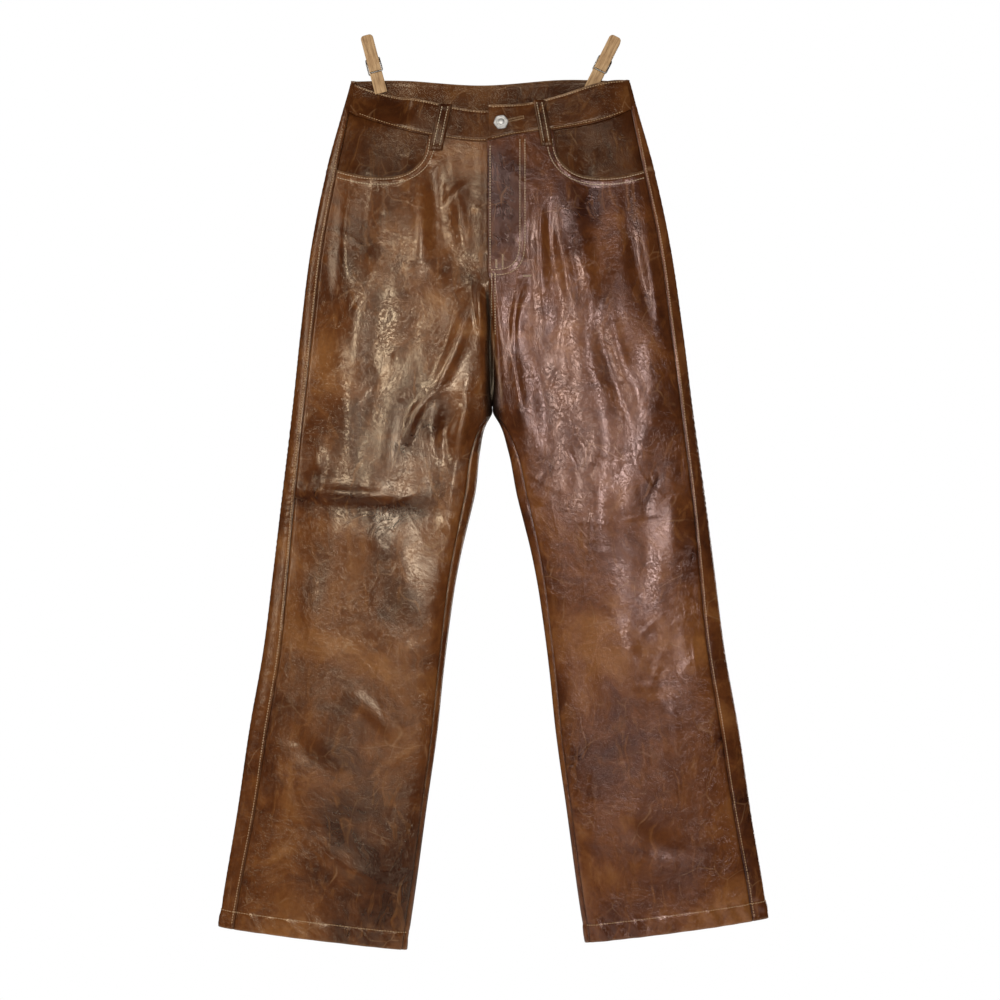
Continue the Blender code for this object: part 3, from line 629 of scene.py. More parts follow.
def skin(side, angle, z, out=0.0, panel=True):
    """Points of the trousers' surface, creases and seams included, moved out along the normal."""
    angle, z = np.broadcast_arrays(np.asarray(angle, float), np.asarray(z, float))
    here, h = smooth_tube(side, angle, z)
    step = 0.004
    along = smooth_tube(side, angle + step, z)[0] - smooth_tube(side, angle - step, z)[0]
    rising = smooth_tube(side, angle, z + 0.5)[0] - smooth_tube(side, angle, z - 0.5)[0]
    normal = side * np.cross(along, rising)
    normal /= np.linalg.norm(normal, axis=-1, keepdims=True)
    x = here[..., 0]
    turn = np.sin(angle)
    height = np.zeros(np.shape(x))
    for face, rows in ((FRONT, FRONT_CREASES), (BACK, BACK_CREASES)):
        this_face = turn > 0 if face == FRONT else turn <= 0
        lift = crease_height(rows, x, z) + small_wrinkles(face, x, z) + slow_waves(x + 400 * face, z)
        lift *= np.clip(1.5 * np.abs(turn) ** 0.8, 0, 1) * ramp(z, -30, -110)
        if panel:
            lift += seam_relief(side, face, h, x, z) + hem_relief(side, x, z)
            if face == FRONT:
                lift += fly_relief(side, x, z) + pocket_relief(x, z)
        height += this_face * lift
    return here + normal * (height + out)[..., None]


def on_face(face, side, x, z, out=0.0, panel=True):
    """Points of the front or the back at the given x and z."""
    x, z = np.broadcast_arrays(np.asarray(x, float), np.asarray(z, float))
    return skin(side, angle_at(side, face, z, side * (x - sway(z))), z, out, panel)


# -------- meshes


def add_object(name, data):
    made = bpy.data.objects.new(name, data)
    bpy.context.scene.collection.objects.link(made)
    return made


def add_mesh(name, points, faces, finish):
    """A shown piece from points in millimetres and a list of faces."""
    mesh = bpy.data.meshes.new(name)
    mesh.from_pydata((np.asarray(points).reshape(-1, 3) * MM).tolist(), [], faces)
    mesh.shade_smooth()
    mesh.materials.append(finish)
    return add_object(name, mesh)


def soften(made, width, least_angle):
    """Rounds every edge that turns by more than an angle."""
    edge = made.modifiers.new("soft_edges", "BEVEL")
    edge.width = width * MM
    edge.segments = 3
    edge.angle_limit = math.radians(least_angle)


def add_sheet(name, points, thickness, finish, turned=False, soft_edge=0.0, **amounts):
    """A wall of cloth from a grid of points, thickened both ways. Its finish reads the amounts."""
    rows, columns = points.shape[:2]
    corner = (np.arange(rows - 1)[:, None] * columns + np.arange(columns - 1)).ravel()
    faces = np.stack([corner, corner + 1, corner + columns + 1, corner + columns], 1)
    made = add_mesh(name, points, (faces[:, ::-1] if turned else faces).tolist(), finish)
    for amount, values in amounts.items():
        values = np.clip(np.broadcast_to(values, (rows, columns)), 0, 1).ravel()
        made.data.attributes.new(amount, "FLOAT", "POINT").data.foreach_set("value", values)
    wall = made.modifiers.new("wall", "SOLIDIFY")
    wall.thickness = thickness * MM
    wall.offset = 0
    if soft_edge:
        soften(made, soft_edge, 50)
    return made


def ring_faces(rings, sides):
    """Four-sided faces between rings of points that follow each other."""
    first, here = np.arange(rings - 1)[:, None] * sides, np.arange(sides)
    a, b = first + here, first + (here + 1) % sides
    return np.stack([a, b, b + sides, a + sides], -1).reshape(-1, 4)


def tube_along(name, route, radius, finish, sides=6):
    """A round cord along points in millimetres."""
    ahead = np.gradient(np.asarray(route, float), axis=0)
    ahead /= np.linalg.norm(ahead, axis=1, keepdims=True)
    first = np.cross(ahead, (0.0, 1.0, 0.001))
    first /= np.linalg.norm(first, axis=1, keepdims=True)
    second = np.cross(ahead, first)
    turn = np.linspace(0, 2 * math.pi, sides, endpoint=False)[:, None]
    ring = first[:, None] * np.cos(turn) + second[:, None] * np.sin(turn)
    points = np.asarray(route, float)[:, None] + ring * radius
    return add_mesh(name, points, ring_faces(len(route), sides).tolist(), finish)


# -------- cloth


def tone_and_shade_amounts(x, z):
    """The listed clouds of the finish, a few of them painted shade: 0.5 is plain, more is amber and less is
    dark.
    """
    amount = np.zeros(np.shape(x))
    for row in TONE_AND_SHADE_PATCHES:
        patch = named(PATCH_COLUMNS, row)
        turn = math.radians(patch["lean"])
        dx, dz = x - patch["x"], z - patch["z"]
        across = (dx * math.cos(turn) - dz * math.sin(turn)) / patch["across"]
        along = (dx * math.sin(turn) + dz * math.cos(turn)) / patch["along"]
        amount += patch["amount"] * np.exp(-(across**2) - along**2)
    return 0.5 + 0.5 * np.clip(amount, -1, 1)


def shade_wedge_edge(z, column):
    return read(SHADE_WEDGE_ROWS, SHADE_WEDGE_COLUMNS, column, z)


def panel_wear(side, angle, x, z):
    """Pale edges, partly worn and partly a painted highlight where edges catch the light: the pocket's lip
    and the hem; along the rim of the fold beside the crotch, a painted highlight only.
    """
    lip = 0.6 * bell(pocket_edge(x) - z - 0.3, 1.4)
    rim = shade_wedge_edge(z, "middle") + shade_wedge_edge(z, "half_width") + 1.6
    # a painted highlight along the rim of the fold beside the crotch
    fold = 0.5 * bell(x - rim, 1.2) * ramp(z, -402, -380) * ramp(z, -296, -310)
    return (np.sin(angle) > 0) * (lip + fold) + 0.3 * bell(z - hem_height(side, x, z), 1.6)


def panel_painted_shade(side, angle, x, z):
    """Painted shade: darkens the seams' grooves and the fold between the thighs, where shade falls."""
    h = side * (x - sway(z))
    seams = 0.8 * bell(h - outseam_h(z) + 0.3, 0.9)
    seams += 0.7 * bell(h - inseam_h(side, z), 0.9) * ramp(z, CROTCH + 10, CROTCH - 30)
    aside = np.abs(x - shade_wedge_edge(z, "middle")) / shade_wedge_edge(z, "half_width")
    fold = np.exp(-(aside**4)) * ramp(z, -430, -412) * ramp(z, -240, -262)
    return (np.sin(angle) > 0) * (seams + fold)


def outseam_angle(side, z):
    return angle_at(side, FRONT, z, outseam_h(z))


def front_angles(side, z, u):
    """Angles of the front panel, from its centre seam or inseam at u = 0 to its outseam at u = 1."""
    fly = ramp(z, FLY_BOTTOM - 14, FLY_BOTTOM)
    upper = angle_at(side, FRONT, z, FLY_EDGE * fly if side == LEFT else -CENTRE_UNDERLAP)
    start = np.where(z > CROTCH, upper, angle_at(side, FRONT, z, inseam_h(side, z)))
    return start + u * (outseam_angle(side, z) - start)


def back_angles(side, z, u):
    """Angles of the back panel, from its outseam to its centre seam or inseam."""
    upper = angle_at(side, BACK, z, 0.0 if side == LEFT else -CENTRE_UNDERLAP)
    lower = 2 * math.pi + angle_at(side, FRONT, z, inseam_h(side, z))
    start = outseam_angle(side, z)
    return start + u * (np.where(z > CROTCH, upper, lower) - start)


def front_band_angles(side, z, u):
    start = angle_at(side, FRONT, z, OVERLAP_START if side == LEFT else -UNDERLAP_END)
    return start + u * (outseam_angle(side, z) - start)


def back_band_angles(side, z, u):
    """Angles right across the back, from one outseam to the other."""
    start = outseam_angle(side, z)
    return start + u * (2 * math.pi + angle_at(side, FRONT, z, -outseam_h(z)) - start)


def meets(edge, side, angles, u, guess):
    """Heights at which a piece's columns meet an edge given as a height for each x."""
    z = np.full(np.shape(u), float(guess))
    for _ in range(5):
        z = edge(smooth_tube(side, angles(side, z, u), z)[0][..., 0])
    return z


def panel_top(face, side, x):
    under_band = band_edge(face, side, x, "seam") + PANEL_LIP
    return np.minimum(under_band, pocket_edge(x)) if face == FRONT else under_band


def add_leg_panel(name, face, side, finish):
    """A leg's front or back, its rows bent at both ends to meet its top edge and its hem."""
    angles = front_angles if face == FRONT else back_angles
    columns = np.unique(np.concatenate([np.linspace(*run) for run in COLUMN_RUNS[face]]))
    runs = [np.linspace(low, high, count, endpoint=False) for low, high, count in ROW_RUNS]
    heights = np.concatenate(runs + [[ROW_RUNS[-1][1]]])
    low, high = heights[0], heights[-1]
    tops = meets(lambda x: panel_top(face, side, x), side, angles, columns, high)
    hems = meets(lambda x: hem_height(side, x), side, angles, columns, low)
    up = np.clip((heights - STRETCHED_ABOVE) / (high - STRETCHED_ABOVE), 0, 1)[:, None]
    down = np.clip((STRETCHED_BELOW - heights) / (STRETCHED_BELOW - low), 0, 1)[:, None]
    z = heights[:, None] + (tops - high) * up + (hems - low) * down
    turned = angles(side, z, columns[None, :])
    points = skin(side, turned, z)
    x, z = points[..., 0], points[..., 2]
    amounts = {
        # tone of the finish, with painted shade from a few dark patches
        "clouds": tone_and_shade_amounts(x, z),
        "wear": panel_wear(side, turned, x, z),
        # painted shade in the seams' grooves and the fold between the thighs
        "painted_shade": panel_painted_shade(side, turned, x, z),
    }
    return add_sheet(name, points, PANEL_THICKNESS, finish, turned=side == RIGHT, **amounts)


def band_relief(face, side, x, v):
    """Grooves of a band's edge stitching, its unevenness, and the lift of the overlap by the button."""
    wave = 0.35 * np.sin(x / 19 + 0.6 * face) + 0.2 * np.sin(x / 7.3 + 2 * v) * np.sin(x / 41)
    grooves = sum(bell(v - share, 0.03) for share in BAND_GROOVES)
    overlap = overlap_lift(x) if face == FRONT and side == LEFT else 0
    return overlap + wave * np.sin(math.pi * v) - 0.35 * grooves


def overlap_lift(x):
    return OVERLAP_LIFT * ramp(x, OVERLAP_FADE[1], OVERLAP_FADE[0])


def add_band(name, face, side, finish):
    mesh = named(BAND_MESH_COLUMNS, BAND_MESHES[face])
    angles = front_band_angles if face == FRONT else back_band_angles
    columns = np.linspace(0, 1, mesh["columns"])
    rows = np.concatenate([[0, 0.03], np.linspace(*BAND_GROOVES, mesh["rows"]), [0.97, 1]])[:, None]
    tops = meets(lambda x: band_edge(face, side, x, "top"), side, angles, columns, BAND_GUESS)
    seams = meets(lambda x: band_edge(face, side, x, "seam"), side, angles, columns, BAND_GUESS)
    z = seams + (tops - seams) * rows
    turned = angles(side, z, columns[None, :])
    x = smooth_tube(side, turned, z)[0][..., 0]
    points = skin(side, turned, z, band_relief(face, side, x, rows) + mesh["out"], panel=False)
    # the band's top edge paled: partly worn, partly a painted highlight
    amounts = {"clouds": mesh["clouds"], "wear": mesh["wear"] * bell(rows - 1, 0.04)}
    return add_sheet(name, points, BAND_THICKNESS, finish, side == RIGHT, soft_edge=0.9, **amounts)


def add_pocket_facing(name, side, finish):
    u = np.linspace(0.2, 0.997, 70)
    tops = meets(lambda x: band_edge(FRONT, side, x, "seam"), side, front_angles, u, POCKET_TOP) + 2
    bottom = POCKET_TOP - POCKET_DROP - POCKET_FACING_BELOW
    z = bottom + (tops - bottom) * np.linspace(0, 1, 24)[:, None]
    points = skin(side, front_angles(side, z, u[None, :]), z, -FACING_DEPTH, panel=False)
    return add_sheet(name, points, PANEL_THICKNESS, finish, side == RIGHT, clouds=0.42)


def add_fly_facing(name, finish):
    rows = 1 - np.cos(np.linspace(0, math.pi / 2, 30))[:, None]
    z = FLY_BOTTOM + (FLY_FACING_TOP - FLY_BOTTOM) * rows
    right = fly_line(z, FLY_FACING_WIDTH, FLY_FACING_POWER) + 3
    x = FLY_UNDERLAP + (right - FLY_UNDERLAP) * np.linspace(0, 1, 16)[None, :]
    points = on_face(FRONT, LEFT, x, z, -FACING_DEPTH, panel=False)
    return add_sheet(name, points, PANEL_THICKNESS, finish, clouds=0.4)


def back_loop(x):
    """A back belt loop's row, hung from just under the band's top edge."""
    top = float(band_edge(BACK, LEFT, x, "top")) - 1
    return (x, top, x, top - BACK_LOOP_REACH, BACK_LOOP_WIDTH)


def on_loop(face, row, u, v, out):
    """Points on a belt loop, u across its width and v up its length, and the side that it is on."""
    loop = named(LOOP_COLUMNS, row)
    side = RIGHT if loop["top_x"] < 0 else LEFT
    x = loop["bottom_x"] + (loop["top_x"] - loop["bottom_x"]) * v + u * loop["width"]
    z = loop["bottom_z"] + (loop["top_z"] - loop["bottom_z"]) * v
    lift = BAND_THICKNESS / 2 + LOOP_CLEARANCE + LOOP_ARCH * np.sin(math.pi * v) + out
    return on_face(face, side, x, z, lift, False), side


def add_loop(name, face, row, finish):
    """A belt loop: its long edges folded under, fast at both ends and standing off in between."""
    v = np.linspace(0, 1, 40)[:, None]
    u = np.linspace(-0.5, 0.5, 21)[None, :]
    ends = 0.8 * bell(v - 0.06, 0.05) + 0.5 * bell(v - 0.95, 0.05)
    edges = 0.45 * bell(np.abs(u) - 0.30, 0.12) - 1.1 * ramp(np.abs(u), 0.42, 0.5)
    points, side = on_loop(face, row, u, v, LOOP_THICKNESS / 2 + ends + edges)
    turned = (side == RIGHT) != (face == BACK)
    # the loop's folded edges paled: partly worn, partly a painted highlight
    wear = 0.12 * bell(np.abs(u) - 0.42, 0.05)
    return add_sheet(name, points, LOOP_THICKNESS, finish, turned, soft_edge=0.5, clouds=0.30, wear=wear)


# -------- stitching


def stitch_template():
    """One stitch along +X: a short spindle, as points and three-sided faces."""
    turn = np.linspace(0, 2 * math.pi, STITCH_SIDES, endpoint=False)
    rings = []
    for row in STITCH_ROWS:
        stitch = named(STITCH_COLUMNS, row)
        radius = stitch["thickness"] * STITCH_RADIUS
        along = np.full(STITCH_SIDES, stitch["along"] * STITCH_LENGTH)
        rings.append(np.stack([along, np.cos(turn) * radius, np.sin(turn) * radius], 1))
    faces = ring_faces(len(rings), STITCH_SIDES)
    return np.concatenate(rings), np.concatenate([faces[:, [0, 3, 2]], faces[:, [0, 2, 1]]])


def add_stitches(name, lines, finish):
    """Stitches along lines of surface points, joined as one piece. Each line is (points, outward hint)."""
    template, faces = stitch_template()
    all_points, all_faces = [], []
    for line, outward in lines:
        steps = np.linalg.norm(np.diff(line, axis=0), axis=1)
        length = np.concatenate([[0], np.cumsum(steps)])
        count = max(int(length[-1] / STITCH_PITCH), 1)
        middles = (np.arange(count) + 0.5) * length[-1] / count
        starts, places, ends = (
            np.stack([np.interp(middles + shift, length, line[:, i]) for i in range(3)], 1)
            for shift in (-0.8, 0.0, 0.8)
        )
        for start, place, end in zip(starts, places, ends):
            run = (end - start) / np.linalg.norm(end - start)
            across = np.cross(np.asarray(outward, float), run)
            across /= np.linalg.norm(across)
            all_faces.append(faces + len(template) * len(all_points))
            all_points.append(place + template @ np.stack([run, across, np.cross(run, across)]))
    return add_mesh(name, np.concatenate(all_points), np.concatenate(all_faces).tolist(), finish)


def panel_line(face, side, x, z):
    """A line of stitches on a panel, and the way out from it."""
    return on_face(face, side, x, z, PANEL_THICKNESS / 2 + STITCH_LIFT), (0, face, 0)


def outseam_line(side):
    """Top stitching on the back panel's strip beside the outseam."""
    z = np.linspace(HEM[side][0] + 4, -58, 500)
    return panel_line(FRONT, side, at_h(side, outseam_h(z) + OUTSEAM_STITCH, z), z)


def hem_lines(side):
    h = np.linspace(inner_edge(side, HEM_LEVEL) + 2.5, outer(HEM_LEVEL, "half_width") - 2, 220)
    x = at_h(side, h, HEM_LEVEL)
    return [panel_line(face, side, x, hem_height(side, x) + HEM_DEPTH) for face in (FRONT, BACK)]


def pocket_route(side, below):
    """x and z along the pocket opening, a given distance below it."""
    turn = np.linspace(0.02, math.pi / 2, 60)
    scoop_x = POCKET_START + POCKET_WIDTH * (1 - np.cos(turn) ** (2 / POCKET_POWER))
    scoop_z = POCKET_TOP - POCKET_DROP * np.sin(turn) ** (2 / POCKET_POWER)
    rise_x = np.linspace(POCKET_START + POCKET_WIDTH + 3, 184, 30)
    rise = POCKET_RISE * ((rise_x - POCKET_START) / POCKET_WIDTH - 1) ** 2
    x = np.concatenate([scoop_x, rise_x])
    z = np.concatenate([scoop_z, POCKET_TOP - POCKET_DROP + rise])
    slope_x, slope_z = np.gradient(x), np.gradient(z)
    size = np.hypot(slope_x, slope_z)
    return side * (x + below * slope_z / size), z - below * slope_x / size


def pocket_lines(side):
    lines = []
    for below in POCKET_STITCHES:
        x, z = pocket_route(side, below)
        keep = (np.abs(x) < outseam_h(z) - 1) & (z < band_edge(FRONT, side, x, "seam") - 2)
        lines.append(panel_line(FRONT, side, x[keep], z[keep]))
    return lines


def fly_lines():
    """The J-shaped double line, the line on the fly's edge, and the double line down the centre seam."""
    lines = []
    turn = np.linspace(0, math.pi / 2, 90)
    along, down = np.cos(turn) ** (2 / FLY_STITCH_POWER), np.sin(turn) ** (2 / FLY_STITCH_POWER)
    straight = np.linspace(-72, FLY_CURVE_TOP, 60)[:-1]
    for right in FLY_STITCHES:
        low = FLY_BOTTOM + (3 if right == FLY_STITCHES[0] else -3)
        x = np.concatenate([np.full(len(straight), right), FLY_EDGE + (right - FLY_EDGE) * along])
        z = np.concatenate([straight, FLY_CURVE_TOP - (FLY_CURVE_TOP - low) * down])
        keep = x > FLY_EDGE + 1.5
        lines.append(panel_line(FRONT, LEFT, x[keep], z[keep]))
    for row in STRAIGHT_ROWS:
        run = named(STRAIGHT_COLUMNS, row)
        z = np.linspace(run["top"], run["bottom"], run["points"])
        lines.append(panel_line(FRONT, LEFT, run["x"], z))
    return lines


def back_centre_lines():
    z = np.linspace(-48, CROTCH + 8, 240)
    return [panel_line(BACK, LEFT, x, z) for x in BACK_STITCHES]


def band_line(face, side, x, share):
    """Points of a stitch line on a waistband."""
    seam, top = (band_edge(face, side, x, column) for column in ("seam", "top"))
    out = BAND_THICKNESS / 2 + BAND_STITCH_LIFT[face] + band_relief(face, side, x, share)
    return on_face(face, side, x, seam + (top - seam) * share, out, False)


def front_band_lines(side):
    x = side * np.linspace(OVERLAP_START + 3 if side == LEFT else 6, 158, 260)
    return [(band_line(FRONT, side, x, share), (0, FRONT, 0)) for share in BAND_GROOVES]


def back_band_lines():
    x = np.linspace(-165, 165, 400)
    lines = []
    for share in BAND_GROOVES:
        halves = [band_line(BACK, side, x[x * side > 0], share) for side in (RIGHT, LEFT)]
        lines.append((np.concatenate(halves), (0, BACK, 0)))
    return lines


def loop_lines(face, row):
    v = np.linspace(0.04, 0.96, 60)
    out = LOOP_THICKNESS + 0.65
    return [(on_loop(face, row, u, v, out)[0], (0, face, 0)) for u in LOOP_STITCHES]


def zigzag(start, end, shares, reaches):
    """x and z of a route that swings to both sides of a straight line."""
    start, run = np.array(start, float), np.subtract(end, start)
    aside = np.array((-run[1], run[0])) / np.hypot(*run)
    return start[:, None] + run[:, None] * shares + aside[:, None] * reaches


def add_bar_tack(name, tack, finish):
    """A dense zigzag of thread between two points of the front."""
    swing = np.where(np.arange(TACK_TURNS) % 2, TACK_HALF_WIDTH, -TACK_HALF_WIDTH)
    x, z = zigzag(tack["start"], tack["end"], np.linspace(0, 1, TACK_TURNS), swing)
    return tube_along(name, on_face(FRONT, LEFT, x, z, PANEL_THICKNESS / 2 + 0.3), TACK_RADIUS, finish)


def add_buttonhole(name, finish):
    """Satin threads round the slot that runs out from under the button."""
    near, far = BUTTONHOLE_REACH
    share = np.linspace(0, 1, BUTTONHOLE_TURNS)
    swing = np.where(np.arange(BUTTONHOLE_TURNS) % 2, far, near)
    shares, reaches = np.concatenate([share, share[::-1]]), np.concatenate([swing, -swing])
    x, z = zigzag(*BUTTONHOLE, shares, reaches)
    route = on_face(FRONT, LEFT, x, z, overlap_lift(x) + BAND_THICKNESS / 2 + 0.75, False)
    return tube_along(name, route, BUTTONHOLE_RADIUS, finish)


# -------- button and pegs


def add_button(name, finish):
    """A hexagonal rim round a dished face with a raised ring and a centre disc."""
    turn = 2 * math.pi * np.arange(BUTTON_STEPS) / BUTTON_STEPS
    hexagon = math.cos(math.pi / 6) / np.cos(turn % (math.pi / 3) - math.pi / 6)
    rings = []
    for rows, outline in ((BUTTON_RIM_ROWS, 0.35 + 0.65 * hexagon), (BUTTON_FACE_ROWS, 1)):
        for row in rows:
            ring = named(BUTTON_COLUMNS, row)
            size = ring["radius"] * outline
            height = np.full(BUTTON_STEPS, ring["height"])
            rings.append(np.stack([size * np.cos(turn), size * np.sin(turn), height], 1))
    base = list(reversed(range(BUTTON_STEPS)))
    faces = ring_faces(len(rings), BUTTON_STEPS).tolist() + [base]
    made = add_mesh(name, np.concatenate(rings), faces, finish)
    lift = OVERLAP_LIFT + BAND_THICKNESS / 2 + 0.6
    centre = on_face(FRONT, LEFT, [BUTTON_X], [BUTTON_Z], lift, False)[0]
    turned = Matrix.Rotation(math.pi / 2, 4, "X") @ Matrix.Rotation(math.radians(BUTTON_TURN), 4, "Z")
    made.matrix_world = Matrix.Translation(Vector(centre) * MM) @ turned
    return made


def peg_matrix(peg):
    place = Matrix.Translation(Vector((peg["x"], PEG_PLANE, peg["z"])) * MM)
    return place @ Matrix.Rotation(math.radians(peg["lean"]), 4, "Y")


def arc(centre, radius, start, end, count):
    angles = np.radians(np.linspace(start, end, count))
    return [(centre[0] + radius * math.cos(a), centre[1] + radius * math.sin(a)) for a in angles]


def arm_profile(jaw_gap):
    """Side view of the back arm as (y, z)."""
    face = PEG_HALF_DEPTH
    groove = face - GROOVE_DEPTH + GROOVE_HALF_WIDTH
    points = [(face, -PEG_BELOW), (face, -GROOVE_HALF_WIDTH)]
    points += arc((groove, 0), GROOVE_HALF_WIDTH, -90, -270, 9)
    points += [(face, GROOVE_HALF_WIDTH), (face, PEG_ABOVE), (face - PEG_TAIL_FACE, PEG_ABOVE)]
    half_open = math.degrees(math.acos(PEG_NOTCH_RIM / PEG_NOTCH_RADIUS))
    points += arc((0, PEG_COIL_HEIGHT), PEG_NOTCH_RADIUS, half_open, -half_open, 15)
    points += [(PEG_NOTCH_RIM, -2), (jaw_gap, PEG_JAW_TOP), (jaw_gap, 1 - PEG_BELOW)]
    return points + [(jaw_gap + 1, -PEG_BELOW)]


def add_peg_arm(name, peg, facing, finish):
    """A wooden arm cut from its side view, with a rounded tail and softened edges."""
    profile = arm_profile(peg["jaw_gap"])
    work = bmesh.new()
    sides = []
    for x in (-PEG_WIDTH / 2, PEG_WIDTH / 2):
        sides.append([work.verts.new((x * MM, facing * y * MM, z * MM)) for y, z in profile])
    work.faces.new(sides[0])
    work.faces.new(list(reversed(sides[1])))
    for i in range(len(profile)):
        work.faces.new((sides[0][i], sides[0][i - 1], sides[1][i - 1], sides[1][i]))
    tail = profile.index((PEG_HALF_DEPTH, PEG_ABOVE))
    corners = [work.edges.get((side[tail], side[tail + 1])) for side in sides]
    radius = PEG_TAIL_CORNER * MM
    bmesh.ops.bevel(work, geom=corners, offset=radius, segments=6, profile=0.5, affect="EDGES")
    bmesh.ops.recalc_face_normals(work, faces=work.faces)
    mesh = bpy.data.meshes.new(name)
    work.to_mesh(mesh)
    work.free()
    mesh.materials.append(finish)
    made = add_object(name, mesh)
    made.matrix_world = peg_matrix(peg)
    soften(made, 0.7, 40)
    return made


def spring_route():
    """Centre line of the spring: over the front arm, round the coil, and over the back arm."""
    lay = PEG_HALF_DEPTH - GROOVE_DEPTH + WIRE_RADIUS + 0.35
    side, corner = COIL_HALF_LENGTH, 1.2
    leg = [(-side + 2, -lay, 0), (side - corner, -lay, 0), (side - 0.3, -lay, 0.3), (side, -lay, corner)]
    leg += [(side, -lay + 0.6, PEG_COIL_HEIGHT / 2)]
    turns = np.linspace(0, 2 * math.pi * COIL_TURNS, int(20 * COIL_TURNS) + 1)
    coil = []
    for turn in turns:
        x = side - 2 * side * turn / turns[-1]
        coil.append((x, -COIL_RADIUS * math.cos(turn), PEG_COIL_HEIGHT + COIL_RADIUS * math.sin(turn)))
    return leg + coil + [(-x, -y, z) for x, y, z in reversed(leg)]


# -------- materials


class Tree:
    """A material whose nodes are added by short calls; colours are given as (red, green, blue)."""

    def __init__(self, name):
        self.material = bpy.data.materials.new(name)
        self.material.use_nodes = True
        self.nodes = self.material.node_tree.nodes
        self.links = self.material.node_tree.links
        self.shader = self.nodes["Principled BSDF"]

    def put(self, socket, value):
        """Sets a socket to a value, or links it to another node's output."""
        if isinstance(value, bpy.types.NodeSocket):
            self.links.new(value, socket)
        else:
            socket.default_value = (*value, 1) if socket.type == "RGBA" else value

    def fill(self, node, sockets):
        for key, value in sockets.items():
            self.put(node.inputs[key.replace("_", " ")], value)

    def shade(self, **sockets):
        self.fill(self.shader, sockets)

    def add(self, kind, settings=None, **sockets):
        node = self.nodes.new(f"ShaderNode{kind}")
        for key, value in (settings or {}).items():
            setattr(node, key, value)
        self.fill(node, sockets)
        return node

    def coordinates(self):
        return self.add("TexCoord").outputs["Object"]

    def noise(self, where, scale, detail, **sockets):
        """Grey noise with so many cells in each metre."""
        return self.add("TexNoise", Vector=where, Scale=scale, Detail=detail, **sockets).outputs["Fac"]

    def bump(self, height, strength, distance):
        return self.add("Bump", Height=height, Strength=strength, Distance=distance).outputs[0]

    def stored(self, name):
        return self.add("Attribute", {"attribute_name": name}).outputs["Fac"]

    def math(self, operation, a, b=0.0, c=0.0):
        node = self.add("Math", {"operation": operation})
        for socket, value in zip(node.inputs, (a, b, c)):
            self.put(socket, value)
        return node.outputs[0]

    def ramp(self, factor, *stops):
        """A colour ramp; each stop is (position, grey value or colour)."""
        node = self.add("ValToRGB")
        self.put(node.inputs[0], factor)
        elements = node.color_ramp.elements
        while len(elements) < len(stops):
            elements.new(0.5)
        for element, (position, colour) in zip(elements, stops):
            element.position = position
            element.color = (*(colour if isinstance(colour, tuple) else (colour,) * 3), 1)
        return node.outputs[0]

    def mix(self, kind, factor, a, b):
        node = self.add("Mix", {"data_type": "RGBA", "blend_type": kind})
        for socket, value in zip((node.inputs[0], node.inputs[6], node.inputs[7]), (factor, a, b)):
            self.put(socket, value)
        return node.outputs[2]


def scaled(colour, share):
    return tuple(share * c for c in colour)


def leather_colour(t, where, bent, shade):
    """Soft clouds, thin amber streaks, pale veins, pale edges that are partly worn and partly a painted
    highlight, and painted shade in the seams' grooves and between the thighs.
    """
    clouds = t.noise(bent, 8.0, 6.0, Roughness=0.55, Distortion=0.8)
    mottle = t.noise(bent, 30.0, 4.0, Roughness=0.6, Distortion=1.2)
    tone = t.math("MULTIPLY_ADD", t.stored("clouds"), 0.5, clouds)
    tone = t.math("SUBTRACT", t.math("MULTIPLY_ADD", mottle, 0.4, tone), 0.45)
    browns = (DEEP_BROWN, MID_BROWN, WARM_BROWN, AMBER)
    deep, mid, warm, amber = (scaled(brown, shade) for brown in browns)
    colour = t.ramp(tone, (0.29, deep), (0.45, mid), (0.56, warm), (0.72, amber))
    slanted = t.add("Mapping", Vector=bent, Rotation=(0.0, 0.7, 0.0), Scale=(1.0, 1.0, 0.22)).outputs[0]
    streaks = t.noise(slanted, 60.0, 5.0, Roughness=0.6, Distortion=1.4)
    colour = t.mix("MIX", t.ramp(streaks, (0.54, 0.0), (0.72, 0.6)), colour, amber)
    veins = t.add("TexVoronoi", {"feature": "DISTANCE_TO_EDGE"}, Vector=bent, Scale=21.0)
    veins = t.ramp(veins.outputs["Distance"], (0.0, 1.0), (0.024, 0.0))
    broken = t.ramp(t.noise(where, 26.0, 4.0), (0.50, 0.0), (0.64, 1.0))
    veins = t.math("MULTIPLY", t.math("MULTIPLY", veins, broken), 0.4)
    colour = t.mix("MIX", veins, colour, VEIN_TAN)
    fine = t.ramp(t.noise(where, 260.0, 3.0), (0.35, 0.6), (0.62, 1.0))
    colour = t.mix("MULTIPLY", 0.35, colour, fine)
    patchy = t.ramp(t.noise(where, 120.0, 4.0), (0.36, 0.25), (0.6, 1.0))
    # pale edges, partly worn and partly a painted highlight
    colour = t.mix("MIX", t.math("MULTIPLY", t.stored("wear"), patchy), colour, WEAR_AND_SHEEN_TAN)
    # painted shade: the seams' grooves and the hollow between the thighs darkened to near black
    return t.mix("MIX", t.stored("painted_shade"), colour, PAINTED_SHADE_BROWN)


def leather_relief(t, where, bent):
    """Broken crinkles, small folds and a fine grain."""
    level = t.noise(bent, 120.0, 4.0, Roughness=0.6, Distortion=1.6)
    crinkle = t.math("ABSOLUTE", t.math("SUBTRACT", level, 0.5))
    crinkle = t.ramp(crinkle, (0.0, 0.0), (0.05, 1.0))
    crinkled = t.ramp(t.noise(bent, 13.0, 2.0), (0.36, 0.25), (0.56, 1.0))
    crinkle = t.math("MULTIPLY", t.math("MULTIPLY", crinkle, crinkled), 0.22)
    folds = t.noise(bent, 75.0, 5.0, Roughness=0.6, Distortion=1.8)
    grain = t.add("TexVoronoi", Vector=where, Scale=800.0).outputs["Distance"]
    rise = t.math("MULTIPLY_ADD", grain, 0.07, t.math("MULTIPLY_ADD", folds, 0.5, crinkle))
    return t.bump(rise, 0.37, 0.0010)


